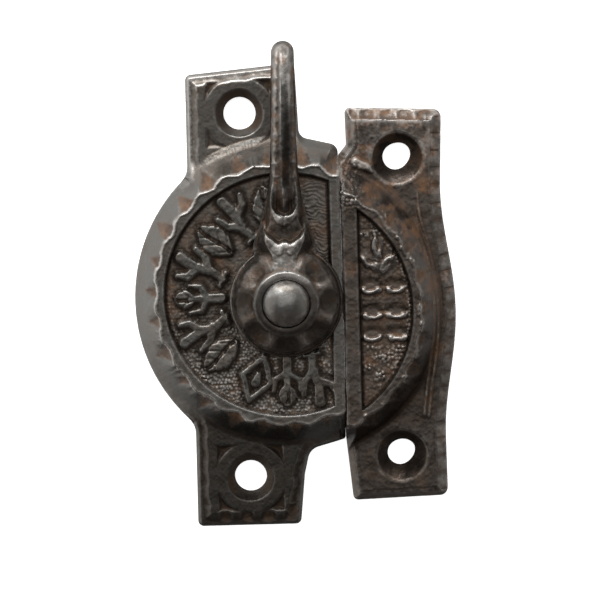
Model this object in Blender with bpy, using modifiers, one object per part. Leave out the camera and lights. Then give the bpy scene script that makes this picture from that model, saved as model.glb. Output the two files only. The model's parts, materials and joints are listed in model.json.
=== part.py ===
"""Cast-iron window sash lock in two castings, for the meeting rails of a sliding sash window.

The case holds a lever that turns a hook-shaped cam on a vertical spindle. The cam swings out through
the open side of the case, under the roof of the keeper, and draws the keeper's lug towards the spindle.
A leaf spring bears on the cam's square boss, so that the lever clicks at each quarter turn.

Metres, +Z up. The origin is the centre of the footprint, on the top face of the rails. Sub-parts are
modelled about the spindle's axis and hang from an empty that puts them in place.
"""

import math

import bmesh
import bpy
from mathutils import Matrix

MM = 0.001

# Where the spindle's axis stands, from the centre of the footprint.
SPINDLE_X = -1.325 * MM
SPINDLE_Y = -1.575 * MM

GAP = 0.3 * MM  # between pieces that rest on each other
THROUGH = 1.0 * MM  # how far a cutter runs past the wall that it cuts

# Heights above the rails.
EAR_TOP = 3.0 * MM
KEEPER_EAR_TOP = 2.7 * MM
BOSS_TOP = 9.6 * MM
FIELD_TOP = 8.8 * MM
ROOF_UNDERSIDE = 7.0 * MM

# Case.
SEAM_X = 8.3 * MM
EAR_LEFT = -14.5 * MM
EAR_LEAN = 0.13 * MM  # the upper ear stands this much to the right, and the lower one to the left
LOBE_CENTRE = (2.25 * MM, -0.4 * MM)
LOBE_RADIUS = 25.35 * MM
BOSS_CENTRE = (0.0, 0.75 * MM)
BOSS_RADIUS = 19.6 * MM
BOSS_FOOT_RADIUS = 23.9 * MM
CHAMBER_RADIUS = 17.6 * MM
CHAMBER_MOUTH_RADIUS = 20.9 * MM
SIDE_OPENING = 14.0 * MM  # half the length of the slot that the cam swings out through
FRAME_WIDTH = 1.55 * MM
SEAM_BAR_WIDTH = 1.6 * MM
COLLAR_RADIUS = 4.2 * MM
COLLAR_DEPTH = 0.6 * MM
PAD_RADIUS = 6.4 * MM

# Screw holes, for countersunk wood screws with a shank of about 4.2 mm.
SCREW_RADIUS = 2.45 * MM
KEEPER_SCREW_RADIUS = 2.3 * MM
COUNTERSINK_RADIUS = 3.85 * MM
COUNTERSINK_DEPTH = 1.7 * MM
CASE_SCREWS = ((-6.3 * MM, 27.85 * MM), (-6.3 * MM, -27.65 * MM))
KEEPER_SCREWS = ((17.3 * MM, 20.7 * MM), (16.9 * MM, -24.6 * MM))

# Keeper.
KEEPER_SEAM_X = 8.6 * MM
KEEPER_CENTRE = (0.6 * MM, -1.9 * MM)
KEEPER_BOSS_RADIUS = 19.5 * MM
KEEPER_FOOT_RADIUS = 22.2 * MM
KEEPER_POCKET_RADIUS = 17.3 * MM
KEEPER_POCKET_MOUTH_RADIUS = 19.6 * MM
KEEPER_MOUTH = 13.2 * MM  # half the length of the slot that lets the cam in
KEEPER_EDGE_X = 23.8 * MM
KEEPER_BULGE = 1.95 * MM
KEEPER_BULGE_Y = -3.0 * MM
KEEPER_BULGE_REACH = 19.0 * MM
LUG_HALF_WIDTH = 3.5 * MM
LUG_BACK_X = 10.2 * MM
LUG_FOOT = 1.0 * MM

# Spindle and what turns on it.
JOURNAL_RADIUS = 2.9 * MM
JOURNAL_CLEARANCE = 0.1 * MM
SQUARE_SIDE = 4.0 * MM
SQUARE_HOLE_SIDE = 4.5 * MM
SPINDLE_FOOT = 0.4 * MM
WASHER_BOTTOM = 1.2 * MM
WASHER_TOP = 1.7 * MM
CAM_BOTTOM = 2.0 * MM
CAM_TOP = 4.4 * MM
CAM_BOSS_TOP = 6.1 * MM
CAM_BOSS_SIDE = 8.4 * MM
CAM_HUB_RADIUS = 5.6 * MM
CAM_RADIUS = 14.9 * MM
CAM_INNER_RADIUS = 11.0 * MM
CAM_LEAD = 1.6 * MM  # how much wider the hook's mouth is than its throat
CAM_TIP_ANGLE = 60.0
CAM_THROAT_ANGLE = -38.0
CAM_HEEL_ANGLE = -62.0

# Leaf spring, on edge, and its two pins.
SPRING_X = -4.75 * MM
SPRING_THICKNESS = 0.5 * MM
SPRING_BOTTOM = 4.7 * MM
SPRING_TOP = 6.1 * MM
PIN_X = -6.0 * MM
PIN_Y = 13.2 * MM
PIN_RADIUS = 0.75 * MM
PIN_TOP = 7.9 * MM
PIN_BOTTOM = 4.6 * MM

# Lever.
HUB_BOTTOM = BOSS_TOP + GAP
HUB_RADIUS = 8.2 * MM
LEVER_LEAN = 0.02  # the arm runs this much to the right of straight
RING_RADIUS = 4.4 * MM
RING_TOP = 15.9 * MM
HEAD_SEAT = 15.3 * MM
HEAD_RADIUS = 3.45 * MM
HEAD_TOP = 18.2 * MM

IRON = (0.105, 0.092, 0.083)
STEEL = (0.22, 0.21, 0.2)
SPRING_STEEL = (0.12, 0.13, 0.16)


def clear_scene():
    for obj in list(bpy.data.objects):
        bpy.data.objects.remove(obj)


def material(name, colour, roughness, metallic):
    made = bpy.data.materials.new(name)
    made.use_nodes = True
    shader = made.node_tree.nodes["Principled BSDF"]
    shader.inputs["Base Color"].default_value = (*colour, 1.0)
    shader.inputs["Roughness"].default_value = roughness
    shader.inputs["Metallic"].default_value = metallic
    return made


def new_collection(name):
    made = bpy.data.collections.new(name)
    bpy.context.scene.collection.children.link(made)
    return made


def put_in(obj, collection):
    for other in list(obj.users_collection):
        other.objects.unlink(obj)
    collection.objects.link(obj)
    return obj


def as_cutter(obj, cutters):
    obj.hide_render = True
    obj.display_type = "WIRE"
    return put_in(obj, cutters)


def mesh_object(name, bm, collection):
    data = bpy.data.meshes.new(name)
    bm.to_mesh(data)
    bm.free()
    obj = bpy.data.objects.new(name, data)
    collection.objects.link(obj)
    return obj


def polar(radius, degrees, centre=(0.0, 0.0)):
    angle = math.radians(degrees)
    return (centre[0] + radius * math.cos(angle), centre[1] + radius * math.sin(angle))


def arc(radius, start, end, count, centre=(0.0, 0.0)):
    """Points along an arc, both ends included."""
    return [polar(radius, start + (end - start) * i / count, centre) for i in range(count + 1)]


def fillet(before, corner, after, radius, steps=5):
    """Points of an arc that rounds a corner between two straight edges."""
    in_x, in_y = before[0] - corner[0], before[1] - corner[1]
    out_x, out_y = after[0] - corner[0], after[1] - corner[1]
    in_length, out_length = math.hypot(in_x, in_y), math.hypot(out_x, out_y)
    in_x, in_y, out_x, out_y = in_x / in_length, in_y / in_length, out_x / out_length, out_y / out_length
    opening = math.acos(max(-1.0, min(1.0, in_x * out_x + in_y * out_y)))
    reach = radius / math.tan(opening / 2)
    middle_x, middle_y = in_x + out_x, in_y + out_y
    middle_length = math.hypot(middle_x, middle_y)
    to_centre = radius / math.sin(opening / 2) / middle_length
    centre = (corner[0] + middle_x * to_centre, corner[1] + middle_y * to_centre)
    first = math.atan2(corner[1] + in_y * reach - centre[1], corner[0] + in_x * reach - centre[0])
    last = math.atan2(corner[1] + out_y * reach - centre[1], corner[0] + out_x * reach - centre[0])
    turn = (last - first + math.pi) % (2 * math.pi) - math.pi
    return [
        (centre[0] + radius * math.cos(first + turn * i / steps),
         centre[1] + radius * math.sin(first + turn * i / steps))
        for i in range(steps + 1)
    ]


def rounded(corners):
    """A closed outline from corners (x, y, radius), where a radius of 0 keeps the corner sharp."""
    points = []
    for i, (x, y, radius) in enumerate(corners):
        if radius == 0:
            points.append((x, y))
            continue
        before, after = corners[i - 1], corners[(i + 1) % len(corners)]
        points += fillet(before[:2], (x, y), after[:2], radius)
    return points


def prism(name, outline, bottom, top, collection):
    """A flat outline, given anticlockwise, as a solid between two heights."""
    curve = bpy.data.curves.new(name, "CURVE")
    curve.dimensions = "2D"
    curve.fill_mode = "BOTH"
    curve.extrude = (top - bottom) / 2
    spline = curve.splines.new("POLY")
    spline.points.add(len(outline) - 1)
    for point, (x, y) in zip(spline.points, outline):
        point.co = (x, y, 0.0, 1.0)
    spline.use_cyclic_u = True
    flat = bpy.data.objects.new(name + "_outline", curve)
    bpy.context.scene.collection.objects.link(flat)
    flat.location.z = (top + bottom) / 2
    bpy.context.view_layer.update()
    graph = bpy.context.evaluated_depsgraph_get()
    data = bpy.data.meshes.new_from_object(flat.evaluated_get(graph))
    data.transform(flat.matrix_world)
    bpy.data.objects.remove(flat)
    bm = bmesh.new()
    bm.from_mesh(data)
    bpy.data.meshes.remove(data)
    bmesh.ops.remove_doubles(bm, verts=bm.verts, dist=0.001 * MM)
    bmesh.ops.recalc_face_normals(bm, faces=bm.faces)
    return mesh_object(name, bm, collection)


def frustum(name, bottom, top, bottom_radius, top_radius, collection, centre=(0.0, 0.0), segments=96):
    bm = bmesh.new()
    bmesh.ops.create_cone(
        bm,
        cap_ends=True,
        segments=segments,
        radius1=bottom_radius,
        radius2=top_radius,
        depth=top - bottom,
        matrix=Matrix.Translation((centre[0], centre[1], (top + bottom) / 2)),
    )
    return mesh_object(name, bm, collection)


def box(name, low, high, collection):
    bm = bmesh.new()
    size = [h - l for l, h in zip(low, high)]
    middle = [(h + l) / 2 for l, h in zip(low, high)]
    bmesh.ops.create_cube(bm, size=1.0, matrix=Matrix.Translation(middle) @ Matrix.Diagonal((*size, 1.0)))
    return mesh_object(name, bm, collection)


def turned(name, profile, collection, segments=64):
    """A profile of (radius, height), from its top down its outer side, turned about the axis."""
    data = bpy.data.meshes.new(name)
    data.from_pydata([(r, 0.0, z) for r, z in profile], [(i, i + 1) for i in range(len(profile) - 1)], [])
    obj = bpy.data.objects.new(name, data)
    collection.objects.link(obj)
    screw = obj.modifiers.new("turn", "SCREW")
    screw.axis = "Z"
    screw.steps = screw.render_steps = segments
    screw.use_merge_vertices = True
    screw.merge_threshold = 0.001 * MM
    return obj


def apply_modifiers(obj):
    """Replaces an object's mesh by the evaluated one, and drops its modifiers."""
    bpy.context.view_layer.update()
    graph = bpy.context.evaluated_depsgraph_get()
    data = bpy.data.meshes.new_from_object(obj.evaluated_get(graph))
    old = obj.data
    obj.modifiers.clear()
    obj.data = data
    bpy.data.meshes.remove(old)
    return obj


def boolean(obj, other, operation, cutters):
    modifier = obj.modifiers.new(operation.lower(), "BOOLEAN")
    modifier.operation = operation
    modifier.solver = "EXACT"
    modifier.object = as_cutter(other, cutters)
    return apply_modifiers(obj)


def smooth(obj, degrees=35.0):
    obj.data.shade_smooth()
    obj.data.set_sharp_from_angle(angle=math.radians(degrees))
    return obj


def case_outline():
    """The case's footprint: two ears, the round lobe on the room side, and the straight seam."""
    lobe_x, lobe_y = LOBE_CENTRE
    run = math.acos((EAR_LEFT - lobe_x) / LOBE_RADIUS)
    start, end = math.degrees(run), 360.0 - math.degrees(run)
    lobe = arc(LOBE_RADIUS, start, end, 30, LOBE_CENTRE)
    ear_fillet = 3.2 * MM
    corners = [
        (EAR_LEFT - EAR_LEAN, -35.25 * MM, 0.9 * MM),
        (1.2 * MM, -35.3 * MM, 0.9 * MM),
        (2.0 * MM, -27.6 * MM, 0.0),
        (2.9 * MM, -23.8 * MM, 2.2 * MM),
        (SEAM_X, -22.3 * MM, 0.5 * MM),
        (SEAM_X, 22.6 * MM, 1.4 * MM),
        (2.6 * MM, 24.0 * MM, 1.5 * MM),
        (2.2 * MM, 35.2 * MM, 0.9 * MM),
        (EAR_LEFT + EAR_LEAN, 33.8 * MM, 0.9 * MM),
        (*lobe[0], ear_fillet),
        *[(x, y, 0.0) for x, y in lobe[1:-1]],
        (*lobe[-1], ear_fillet),
    ]
    return rounded(corners)


def keeper_outline():
    """The keeper's footprint: straight ends, the seam, and a bulging edge on the glass side."""
    steps = 24
    bulge = []
    for i in range(steps + 1):
        from_middle = KEEPER_BULGE_REACH * (2 * i / steps - 1)
        swell = 0.5 + 0.5 * math.cos(math.pi * from_middle / KEEPER_BULGE_REACH)
        bulge.append((KEEPER_EDGE_X + KEEPER_BULGE * swell, KEEPER_BULGE_Y + from_middle, 0.0))
    corners = [
        (9.4 * MM, -31.9 * MM, 0.8 * MM),
        (23.9 * MM, -31.5 * MM, 1.2 * MM),
        *bulge,
        (24.2 * MM, 27.6 * MM, 1.2 * MM),
        (9.6 * MM, 28.25 * MM, 0.8 * MM),
        (9.7 * MM, 22.6 * MM, 0.4 * MM),
        (KEEPER_SEAM_X, 21.1 * MM, 0.4 * MM),
        (KEEPER_SEAM_X, -22.0 * MM, 0.0),
    ]
    return rounded(corners)


def round_boss(name, outline, centre, foot, foot_radius, top_radius, cutters):
    """A drafted round boss that keeps inside an outline."""
    draft = (foot_radius - top_radius) / (BOSS_TOP - foot)
    boss = frustum(name, 0.0, BOSS_TOP, foot_radius + draft * foot, top_radius, cutters, centre)
    limits = prism(name + "_limits", outline, -THROUGH, BOSS_TOP + THROUGH, cutters)
    return boolean(boss, limits, "INTERSECT", cutters)


def cut_screw_holes(obj, places, radius, ear_top, cutters):
    for index, (x, y) in enumerate(places):
        name = f"{obj.name}_screw_{index}"
        shank = frustum(name, -THROUGH, ear_top + THROUGH, radius, radius, cutters, (x, y), 32)
        boolean(obj, shank, "DIFFERENCE", cutters)
        flare = (COUNTERSINK_RADIUS - radius) / COUNTERSINK_DEPTH
        above = 0.2 * MM
        low = ear_top - COUNTERSINK_DEPTH
        wide = COUNTERSINK_RADIUS + flare * above
        cone = frustum(name + "_sink", low, ear_top + above, radius, wide, cutters, (x, y), 32)
        boolean(obj, cone, "DIFFERENCE", cutters)


def chord_outline(radius, chord_x, centre=(0.0, 0.0), side=-1, count=56):
    """A circle's outline on one side of the line x = chord_x: side -1 keeps the left, +1 the right."""
    half = math.degrees(math.acos((chord_x - centre[0]) / radius))
    if side < 0:
        return arc(radius, half, 360.0 - half, count, centre)
    return arc(radius, -half, half, count, centre)


def make_case(collection, cutters):
    case = prism("case_casting", case_outline(), 0.0, EAR_TOP, collection)
    boss = round_boss(
        "case_boss", case_outline(), BOSS_CENTRE, EAR_TOP, BOSS_FOOT_RADIUS, BOSS_RADIUS, cutters
    )
    boolean(case, boss, "UNION", cutters)

    wall_x = SEAM_X - SEAM_BAR_WIDTH
    field_outline = chord_outline(BOSS_RADIUS - FRAME_WIDTH, wall_x, BOSS_CENTRE)
    field = prism("case_field", field_outline, FIELD_TOP, BOSS_TOP + THROUGH, cutters)
    boolean(case, field, "DIFFERENCE", cutters)
    pad = frustum("case_pad", FIELD_TOP - 1.0 * MM, BOSS_TOP, PAD_RADIUS, PAD_RADIUS, cutters, segments=48)
    boolean(case, pad, "UNION", cutters)

    flare = (CHAMBER_MOUTH_RADIUS - CHAMBER_RADIUS) / ROOF_UNDERSIDE
    chamber = frustum(
        "case_chamber",
        -THROUGH,
        ROOF_UNDERSIDE,
        CHAMBER_MOUTH_RADIUS + flare * THROUGH,
        CHAMBER_RADIUS,
        cutters,
        BOSS_CENTRE,
    )
    seam_wall = box(
        "case_seam_wall",
        (wall_x, -30 * MM, -2 * THROUGH),
        (30 * MM, 30 * MM, BOSS_TOP),
        cutters,
    )
    boolean(chamber, seam_wall, "DIFFERENCE", cutters)
    opening = box(
        "case_side_opening",
        (wall_x - 1.0 * MM, -SIDE_OPENING, -THROUGH),
        (SEAM_X + THROUGH, SIDE_OPENING, ROOF_UNDERSIDE),
        cutters,
    )
    boolean(chamber, opening, "UNION", cutters)
    boolean(case, chamber, "DIFFERENCE", cutters)

    collar = frustum(
        "case_collar",
        ROOF_UNDERSIDE - COLLAR_DEPTH,
        ROOF_UNDERSIDE + 1.0 * MM,
        COLLAR_RADIUS,
        COLLAR_RADIUS,
        cutters,
        segments=48,
    )
    boolean(case, collar, "UNION", cutters)
    bearing_radius = JOURNAL_RADIUS + JOURNAL_CLEARANCE
    bearing = frustum(
        "case_bearing", 0.0, BOSS_TOP + THROUGH, bearing_radius, bearing_radius, cutters, segments=48
    )
    boolean(case, bearing, "DIFFERENCE", cutters)
    for side in (-1, 1):
        seat_radius = PIN_RADIUS + JOURNAL_CLEARANCE
        seat = frustum(
            f"case_pin_seat_{side}",
            ROOF_UNDERSIDE - THROUGH,
            PIN_TOP + 0.1 * MM,
            seat_radius,
            seat_radius,
            cutters,
            (PIN_X, side * PIN_Y),
            20,
        )
        boolean(case, seat, "DIFFERENCE", cutters)
    cut_screw_holes(case, CASE_SCREWS, SCREW_RADIUS, EAR_TOP, cutters)
    return smooth(case)


def make_keeper(collection, cutters):
    keeper = prism("keeper_casting", keeper_outline(), 0.0, KEEPER_EAR_TOP, collection)
    boss = round_boss(
        "keeper_boss",
        keeper_outline(),
        KEEPER_CENTRE,
        KEEPER_EAR_TOP,
        KEEPER_FOOT_RADIUS,
        KEEPER_BOSS_RADIUS,
        cutters,
    )
    boolean(keeper, boss, "UNION", cutters)

    wall_x = KEEPER_SEAM_X + SEAM_BAR_WIDTH
    field = prism(
        "keeper_field",
        chord_outline(KEEPER_BOSS_RADIUS - 1.3 * MM, wall_x, KEEPER_CENTRE, side=1, count=32),
        FIELD_TOP,
        BOSS_TOP + THROUGH,
        cutters,
    )
    boolean(keeper, field, "DIFFERENCE", cutters)

    flare = (KEEPER_POCKET_MOUTH_RADIUS - KEEPER_POCKET_RADIUS) / ROOF_UNDERSIDE
    pocket = frustum(
        "keeper_pocket",
        -THROUGH,
        ROOF_UNDERSIDE,
        KEEPER_POCKET_MOUTH_RADIUS + flare * THROUGH,
        KEEPER_POCKET_RADIUS,
        cutters,
        KEEPER_CENTRE,
    )
    seam_wall = box(
        "keeper_seam_wall",
        (-30 * MM, -30 * MM, -2 * THROUGH),
        (wall_x, 30 * MM, BOSS_TOP),
        cutters,
    )
    boolean(pocket, seam_wall, "DIFFERENCE", cutters)
    mouth = box(
        "keeper_mouth",
        (KEEPER_SEAM_X - THROUGH, -KEEPER_MOUTH, -THROUGH),
        (wall_x + 1.0 * MM, KEEPER_MOUTH, ROOF_UNDERSIDE),
        cutters,
    )
    boolean(pocket, mouth, "UNION", cutters)
    boolean(keeper, pocket, "DIFFERENCE", cutters)

    lug = box(
        "keeper_lug",
        (KEEPER_SEAM_X, -LUG_HALF_WIDTH, LUG_FOOT),
        (LUG_BACK_X, LUG_HALF_WIDTH, ROOF_UNDERSIDE + 1.0 * MM),
        cutters,
    )
    boolean(keeper, lug, "UNION", cutters)
    cut_screw_holes(keeper, KEEPER_SCREWS, KEEPER_SCREW_RADIUS, KEEPER_EAR_TOP, cutters)
    return smooth(keeper)


def square_hole(obj, bottom, top, cutters):
    half = SQUARE_HOLE_SIDE / 2
    hole = box(obj.name + "_square", (-half, -half, bottom), (half, half, top), cutters)
    return boolean(obj, hole, "DIFFERENCE", cutters)


def cam_outline():
    """A hook about the spindle that points to +X: its mouth is at its upper end, its heel at the lower."""
    sweep = CAM_TIP_ANGLE - CAM_THROAT_ANGLE
    steps = 20
    inner = []
    for i in range(steps + 1):
        share = 1 - i / steps
        radius = CAM_INNER_RADIUS + CAM_LEAD * share**2
        inner.append(polar(radius, CAM_THROAT_ANGLE + sweep * share))
    outer = arc(CAM_RADIUS, CAM_HEEL_ANGLE, CAM_TIP_ANGLE, 28)
    hub = arc(CAM_HUB_RADIUS, -24.0, 270.0, 36)
    return outer + inner + hub


def make_cam(collection, cutters):
    cam = prism("locking_cam", cam_outline(), CAM_BOTTOM, CAM_TOP, collection)
    half = CAM_BOSS_SIDE / 2
    boss = box("cam_boss", (-half, -half, CAM_BOTTOM + 1.0 * MM), (half, half, CAM_BOSS_TOP), cutters)
    boolean(cam, boss, "UNION", cutters)
    square_hole(cam, 0.0, BOSS_TOP, cutters)
    smooth(cam)
    cam.rotation_euler.z = math.pi  # drawn back into the case
    return cam


def make_washer(collection, cutters):
    washer = frustum("cam_washer", WASHER_BOTTOM, WASHER_TOP, 4.4 * MM, 4.4 * MM, collection, segments=48)
    square_hole(washer, 0.0, CAM_TOP, cutters)
    return smooth(washer)


def make_spindle(collection, cutters):
    """Domed head, square in the lever, round in the case, square in the cam, and a peened foot."""
    journal_top = BOSS_TOP + GAP / 2
    dome = [
        (HEAD_RADIUS * math.sin(math.radians(a)),
         HEAD_SEAT + GAP + (HEAD_TOP - HEAD_SEAT - GAP) * math.cos(math.radians(a)))
        for a in range(0, 91, 9)
    ]
    head = turned("pivot_spindle", dome + [(0.0, HEAD_SEAT + GAP)], collection, 48)
    apply_modifiers(head)
    half = SQUARE_SIDE / 2
    square = box(
        "spindle_square", (-half, -half, WASHER_BOTTOM - 0.4 * MM), (half, half, HEAD_SEAT + 1.0 * MM), cutters
    )
    boolean(head, square, "UNION", cutters)
    journal = frustum(
        "spindle_journal", CAM_BOSS_TOP + GAP, journal_top, JOURNAL_RADIUS, JOURNAL_RADIUS, cutters, segments=48
    )
    boolean(head, journal, "UNION", cutters)
    foot_top = WASHER_BOTTOM - 0.2 * MM
    foot = frustum("spindle_foot", SPINDLE_FOOT, foot_top, 2.6 * MM, 3.3 * MM, cutters, segments=48)
    boolean(head, foot, "UNION", cutters)
    return smooth(head)


def lever_side():
    """The arm's outline from the side, as (distance along Y, height), anticlockwise."""
    underside = [(3.0, 9.9), (12.0, 10.3), (16.0, 11.2), (19.0, 12.9), (22.5, 16.0), (26.0, 19.4), (29.0, 21.6),
                 (31.5, 22.6), (33.7, 22.4), (35.5, 21.2), (36.8, 19.4)]
    top = [(38.3, 19.6), (38.45, 20.9), (37.2, 22.9), (35.3, 24.5), (33.2, 25.2), (30.9, 25.0), (28.0, 23.7),
           (25.0, 21.4), (21.5, 17.9), (18.5, 15.2), (15.5, 13.7), (12.0, 13.3), (8.0, 13.9), (3.0, 15.0)]
    return [(y * MM, z * MM) for y, z in underside + top]


def lever_plan():
    """The arm's outline from above: wide at the hub, narrow along the finger piece."""
    half = [(0.0, 7.4), (4.5, 6.6), (9.2, 4.9), (12.5, 3.7), (15.5, 2.8), (19.0, 2.1), (24.0, 1.85),
            (36.0, 1.65)]
    right = [(x * MM, y * MM) for y, x in half]
    tip = arc(1.65 * MM, 0.0, 180.0, 8, (0.0, 36.45 * MM))
    left = [(-x, y) for x, y in reversed(right)]
    return [(x + LEVER_LEAN * y, y) for x, y in right + tip + left]


def make_lever(collection, cutters):
    """Domed hub, ring for the spindle's head, and an arm that rises and curls over at the end."""
    arm = prism("lever", lever_plan(), 0.0, 30 * MM, collection)
    side = prism("lever_side", lever_side(), -12 * MM, 12 * MM, cutters)
    # The side view is drawn in XY: this turns its X to Y and its Y to Z.
    side.matrix_world = Matrix(((0, 0, 1, 0), (1, 0, 0, 0), (0, 1, 0, 0), (0, 0, 0, 1)))
    boolean(arm, side, "INTERSECT", cutters)

    dome_foot, dome_top = HUB_BOTTOM + 1.1 * MM, RING_TOP - 0.5 * MM
    dome = [
        (RING_RADIUS + (HUB_RADIUS - RING_RADIUS) * math.sin(math.radians(a)),
         dome_foot + (dome_top - dome_foot) * math.cos(math.radians(a)))
        for a in range(0, 91, 15)
    ]
    profile = [
        (0.0, HEAD_SEAT),
        (RING_RADIUS - 0.7 * MM, HEAD_SEAT),
        (RING_RADIUS - 0.6 * MM, RING_TOP),
        (RING_RADIUS, RING_TOP - 0.1 * MM),
        *dome,
        (HUB_RADIUS - 0.4 * MM, HUB_BOTTOM),
        (0.0, HUB_BOTTOM),
    ]
    hub = turned("lever_hub", profile, cutters)
    apply_modifiers(hub)
    boolean(arm, hub, "UNION", cutters)
    seat = frustum(
        "lever_head_seat",
        HEAD_SEAT,
        HEAD_TOP + 5 * MM,
        RING_RADIUS - 0.7 * MM,
        RING_RADIUS - 0.6 * MM,
        cutters,
        segments=64,
    )
    boolean(arm, seat, "DIFFERENCE", cutters)
    square_hole(arm, 0.0, HEAD_TOP, cutters)
    return smooth(arm)


def spring_centreline():
    """Straight along the cam's boss, then out and half round each pin."""
    hook_radius = PIN_RADIUS + GAP + SPRING_THICKNESS / 2
    hook = [(PIN_X + hook_radius * math.cos(a), PIN_Y + hook_radius * math.sin(a))
            for a in (math.radians(d) for d in range(0, 181, 20))]
    lower = [(x, -y) for x, y in reversed(hook)]
    bend = 9.0 * MM
    return [*lower, (SPRING_X, -bend), (SPRING_X, bend), *hook]


def ribbon(centreline, thickness):
    """The outline of a strip of even thickness along a line."""
    left, right = [], []
    for i, (x, y) in enumerate(centreline):
        before, after = centreline[max(i - 1, 0)], centreline[min(i + 1, len(centreline) - 1)]
        along_x, along_y = after[0] - before[0], after[1] - before[1]
        length = math.hypot(along_x, along_y)
        normal_x, normal_y = -along_y / length, along_x / length
        left.append((x + normal_x * thickness / 2, y + normal_y * thickness / 2))
        right.append((x - normal_x * thickness / 2, y - normal_y * thickness / 2))
    return right + left[::-1]


def make_spring(collection):
    outline = ribbon(spring_centreline(), SPRING_THICKNESS)
    return smooth(prism("detent_spring", outline, SPRING_BOTTOM, SPRING_TOP, collection))


def make_pin(name, side, collection):
    pin = frustum(name, PIN_BOTTOM, PIN_TOP, PIN_RADIUS, PIN_RADIUS, collection, segments=20)
    pin.location = (PIN_X, side * PIN_Y, 0.0)
    return smooth(pin)


def main():
    clear_scene()
    parts = new_collection("sash_lock")
    cutters = new_collection("cutters")

    iron = material("cast_iron", IRON, 0.45, 0.9)
    steel = material("turned_steel", STEEL, 0.35, 1.0)
    spring_steel = material("spring_steel", SPRING_STEEL, 0.3, 1.0)

    pieces = [
        (make_case(parts, cutters), iron),
        (make_keeper(parts, cutters), iron),
        (make_lever(parts, cutters), iron),
        (make_spindle(parts, cutters), steel),
        (make_cam(parts, cutters), iron),
        (make_washer(parts, cutters), steel),
        (make_spring(parts), spring_steel),
        (make_pin("spring_pin_upper", 1, parts), steel),
        (make_pin("spring_pin_lower", -1, parts), steel),
    ]

    spindle_axis = bpy.data.objects.new("spindle_axis", None)
    parts.objects.link(spindle_axis)
    spindle_axis.location = (SPINDLE_X, SPINDLE_Y, 0.0)
    for obj, look in pieces:
        obj.data.materials.clear()
        obj.data.materials.append(look)
        obj.parent = spindle_axis


main()
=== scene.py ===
"""A waxed cast-iron window sash lock, seen from above.

The castings are fine relief meshes: each has a top surface and an underside, given as heights over the
same outline, and walls between them. Their sizes are in millimetres about the spindle's axis, with +X
towards the keeper, +Y along the open lever and heights above the meeting rails.
"""

import json
import math

import bpy
import numpy as np
from mathutils import Matrix, Vector
from mathutils.geometry import delaunay_2d_cdt
from mathutils.kdtree import KDTree


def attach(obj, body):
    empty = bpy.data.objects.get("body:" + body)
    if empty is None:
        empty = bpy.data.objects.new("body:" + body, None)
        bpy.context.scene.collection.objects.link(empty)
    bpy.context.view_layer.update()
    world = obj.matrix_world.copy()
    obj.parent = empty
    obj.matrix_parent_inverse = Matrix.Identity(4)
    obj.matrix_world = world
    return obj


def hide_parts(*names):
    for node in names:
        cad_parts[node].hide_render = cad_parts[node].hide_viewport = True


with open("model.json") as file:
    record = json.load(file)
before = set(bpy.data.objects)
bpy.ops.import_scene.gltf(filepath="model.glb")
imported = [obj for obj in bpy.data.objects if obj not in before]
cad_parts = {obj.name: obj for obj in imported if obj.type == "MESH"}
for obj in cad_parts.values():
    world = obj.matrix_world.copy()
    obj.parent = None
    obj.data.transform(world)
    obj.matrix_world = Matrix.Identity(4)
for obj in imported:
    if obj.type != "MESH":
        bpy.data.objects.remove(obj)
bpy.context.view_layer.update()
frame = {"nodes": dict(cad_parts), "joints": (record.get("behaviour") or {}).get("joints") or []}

MM = 0.001
TURN = next(joint for joint in frame["joints"] if joint["name"] == "lever_turn")
AXIS = np.array([TURN["pos_m"][0] / MM, TURN["pos_m"][1] / MM, 0.0])
PITCH = 0.14  # spacing of the points of a top surface
UNDER_PITCH = 0.45
BLOCK = 4000  # points measured at a time, to save memory

# Heights.
EAR_TOP = 3.0
KEEPER_EAR_TOP = 2.7
EDGE_HEIGHT = 0.95  # of the upright edge below the bevel
BOSS_TOP = 9.6
FIELD_TOP = 8.75
ROOF_UNDERSIDE = 7.0
COLLAR_UNDERSIDE = 6.4

# Case.
SEAM_X = 8.42  # the two castings all but touch here
EAR_LEFT = -14.5
EAR_LEAN = 0.13
LOBE_CENTRE = (2.25, -0.4)
LOBE_RADIUS = 25.35
BOSS_CENTRE = (0.0, 0.75)
BOSS_RADIUS = 19.5
RING_INSIDE = 18.05
BAR_INSIDE = 6.7
SIDE_OPENING = 14.0  # half the length of the slot that the cam swings out through
RIDGE_RADIUS = 22.05
NOTCH_TURN = 13.6  # degrees from one notch under the rim to the next
CHAMBER_RADIUS = 20.9  # at its mouth, from where its side slopes up to the roof
CHAMBER_ROOF_RADIUS = 17.6
COLLAR_RADIUS = 4.2
BEARING_RADIUS = 3.0
CASE_SCREW_RADIUS = 2.45
KEEPER_SCREW_RADIUS = 2.3
KEEPER_HOLE_RADIUS = 2.06  # of its worn mouth
COUNTERSINK_RADIUS = 3.65
COUNTERSINK_DEPTH = 1.7
CASE_SCREWS = ((-6.3, 27.85), (-6.3, -27.65))
KEEPER_SCREWS = ((17.3, 20.7), (16.9, -24.6))

# Keeper.
KEEPER_SEAM_X = 8.48
KEEPER_CENTRE = (0.6, -1.9)
KEEPER_BOSS_RADIUS = 19.5
KEEPER_RING_INSIDE = 18.2
KEEPER_BAR_INSIDE = 10.9
KEEPER_WALL_X = KEEPER_SEAM_X + 1.6
KEEPER_MOUTH = 13.2  # half the length of the slot that lets the cam in
POCKET_RADIUS = 19.6
POCKET_ROOF_RADIUS = 17.3
LUG_HALF_WIDTH = 3.5
LUG_BACK_X = 10.2
LUG_UNDERSIDE = 1.0

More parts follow.
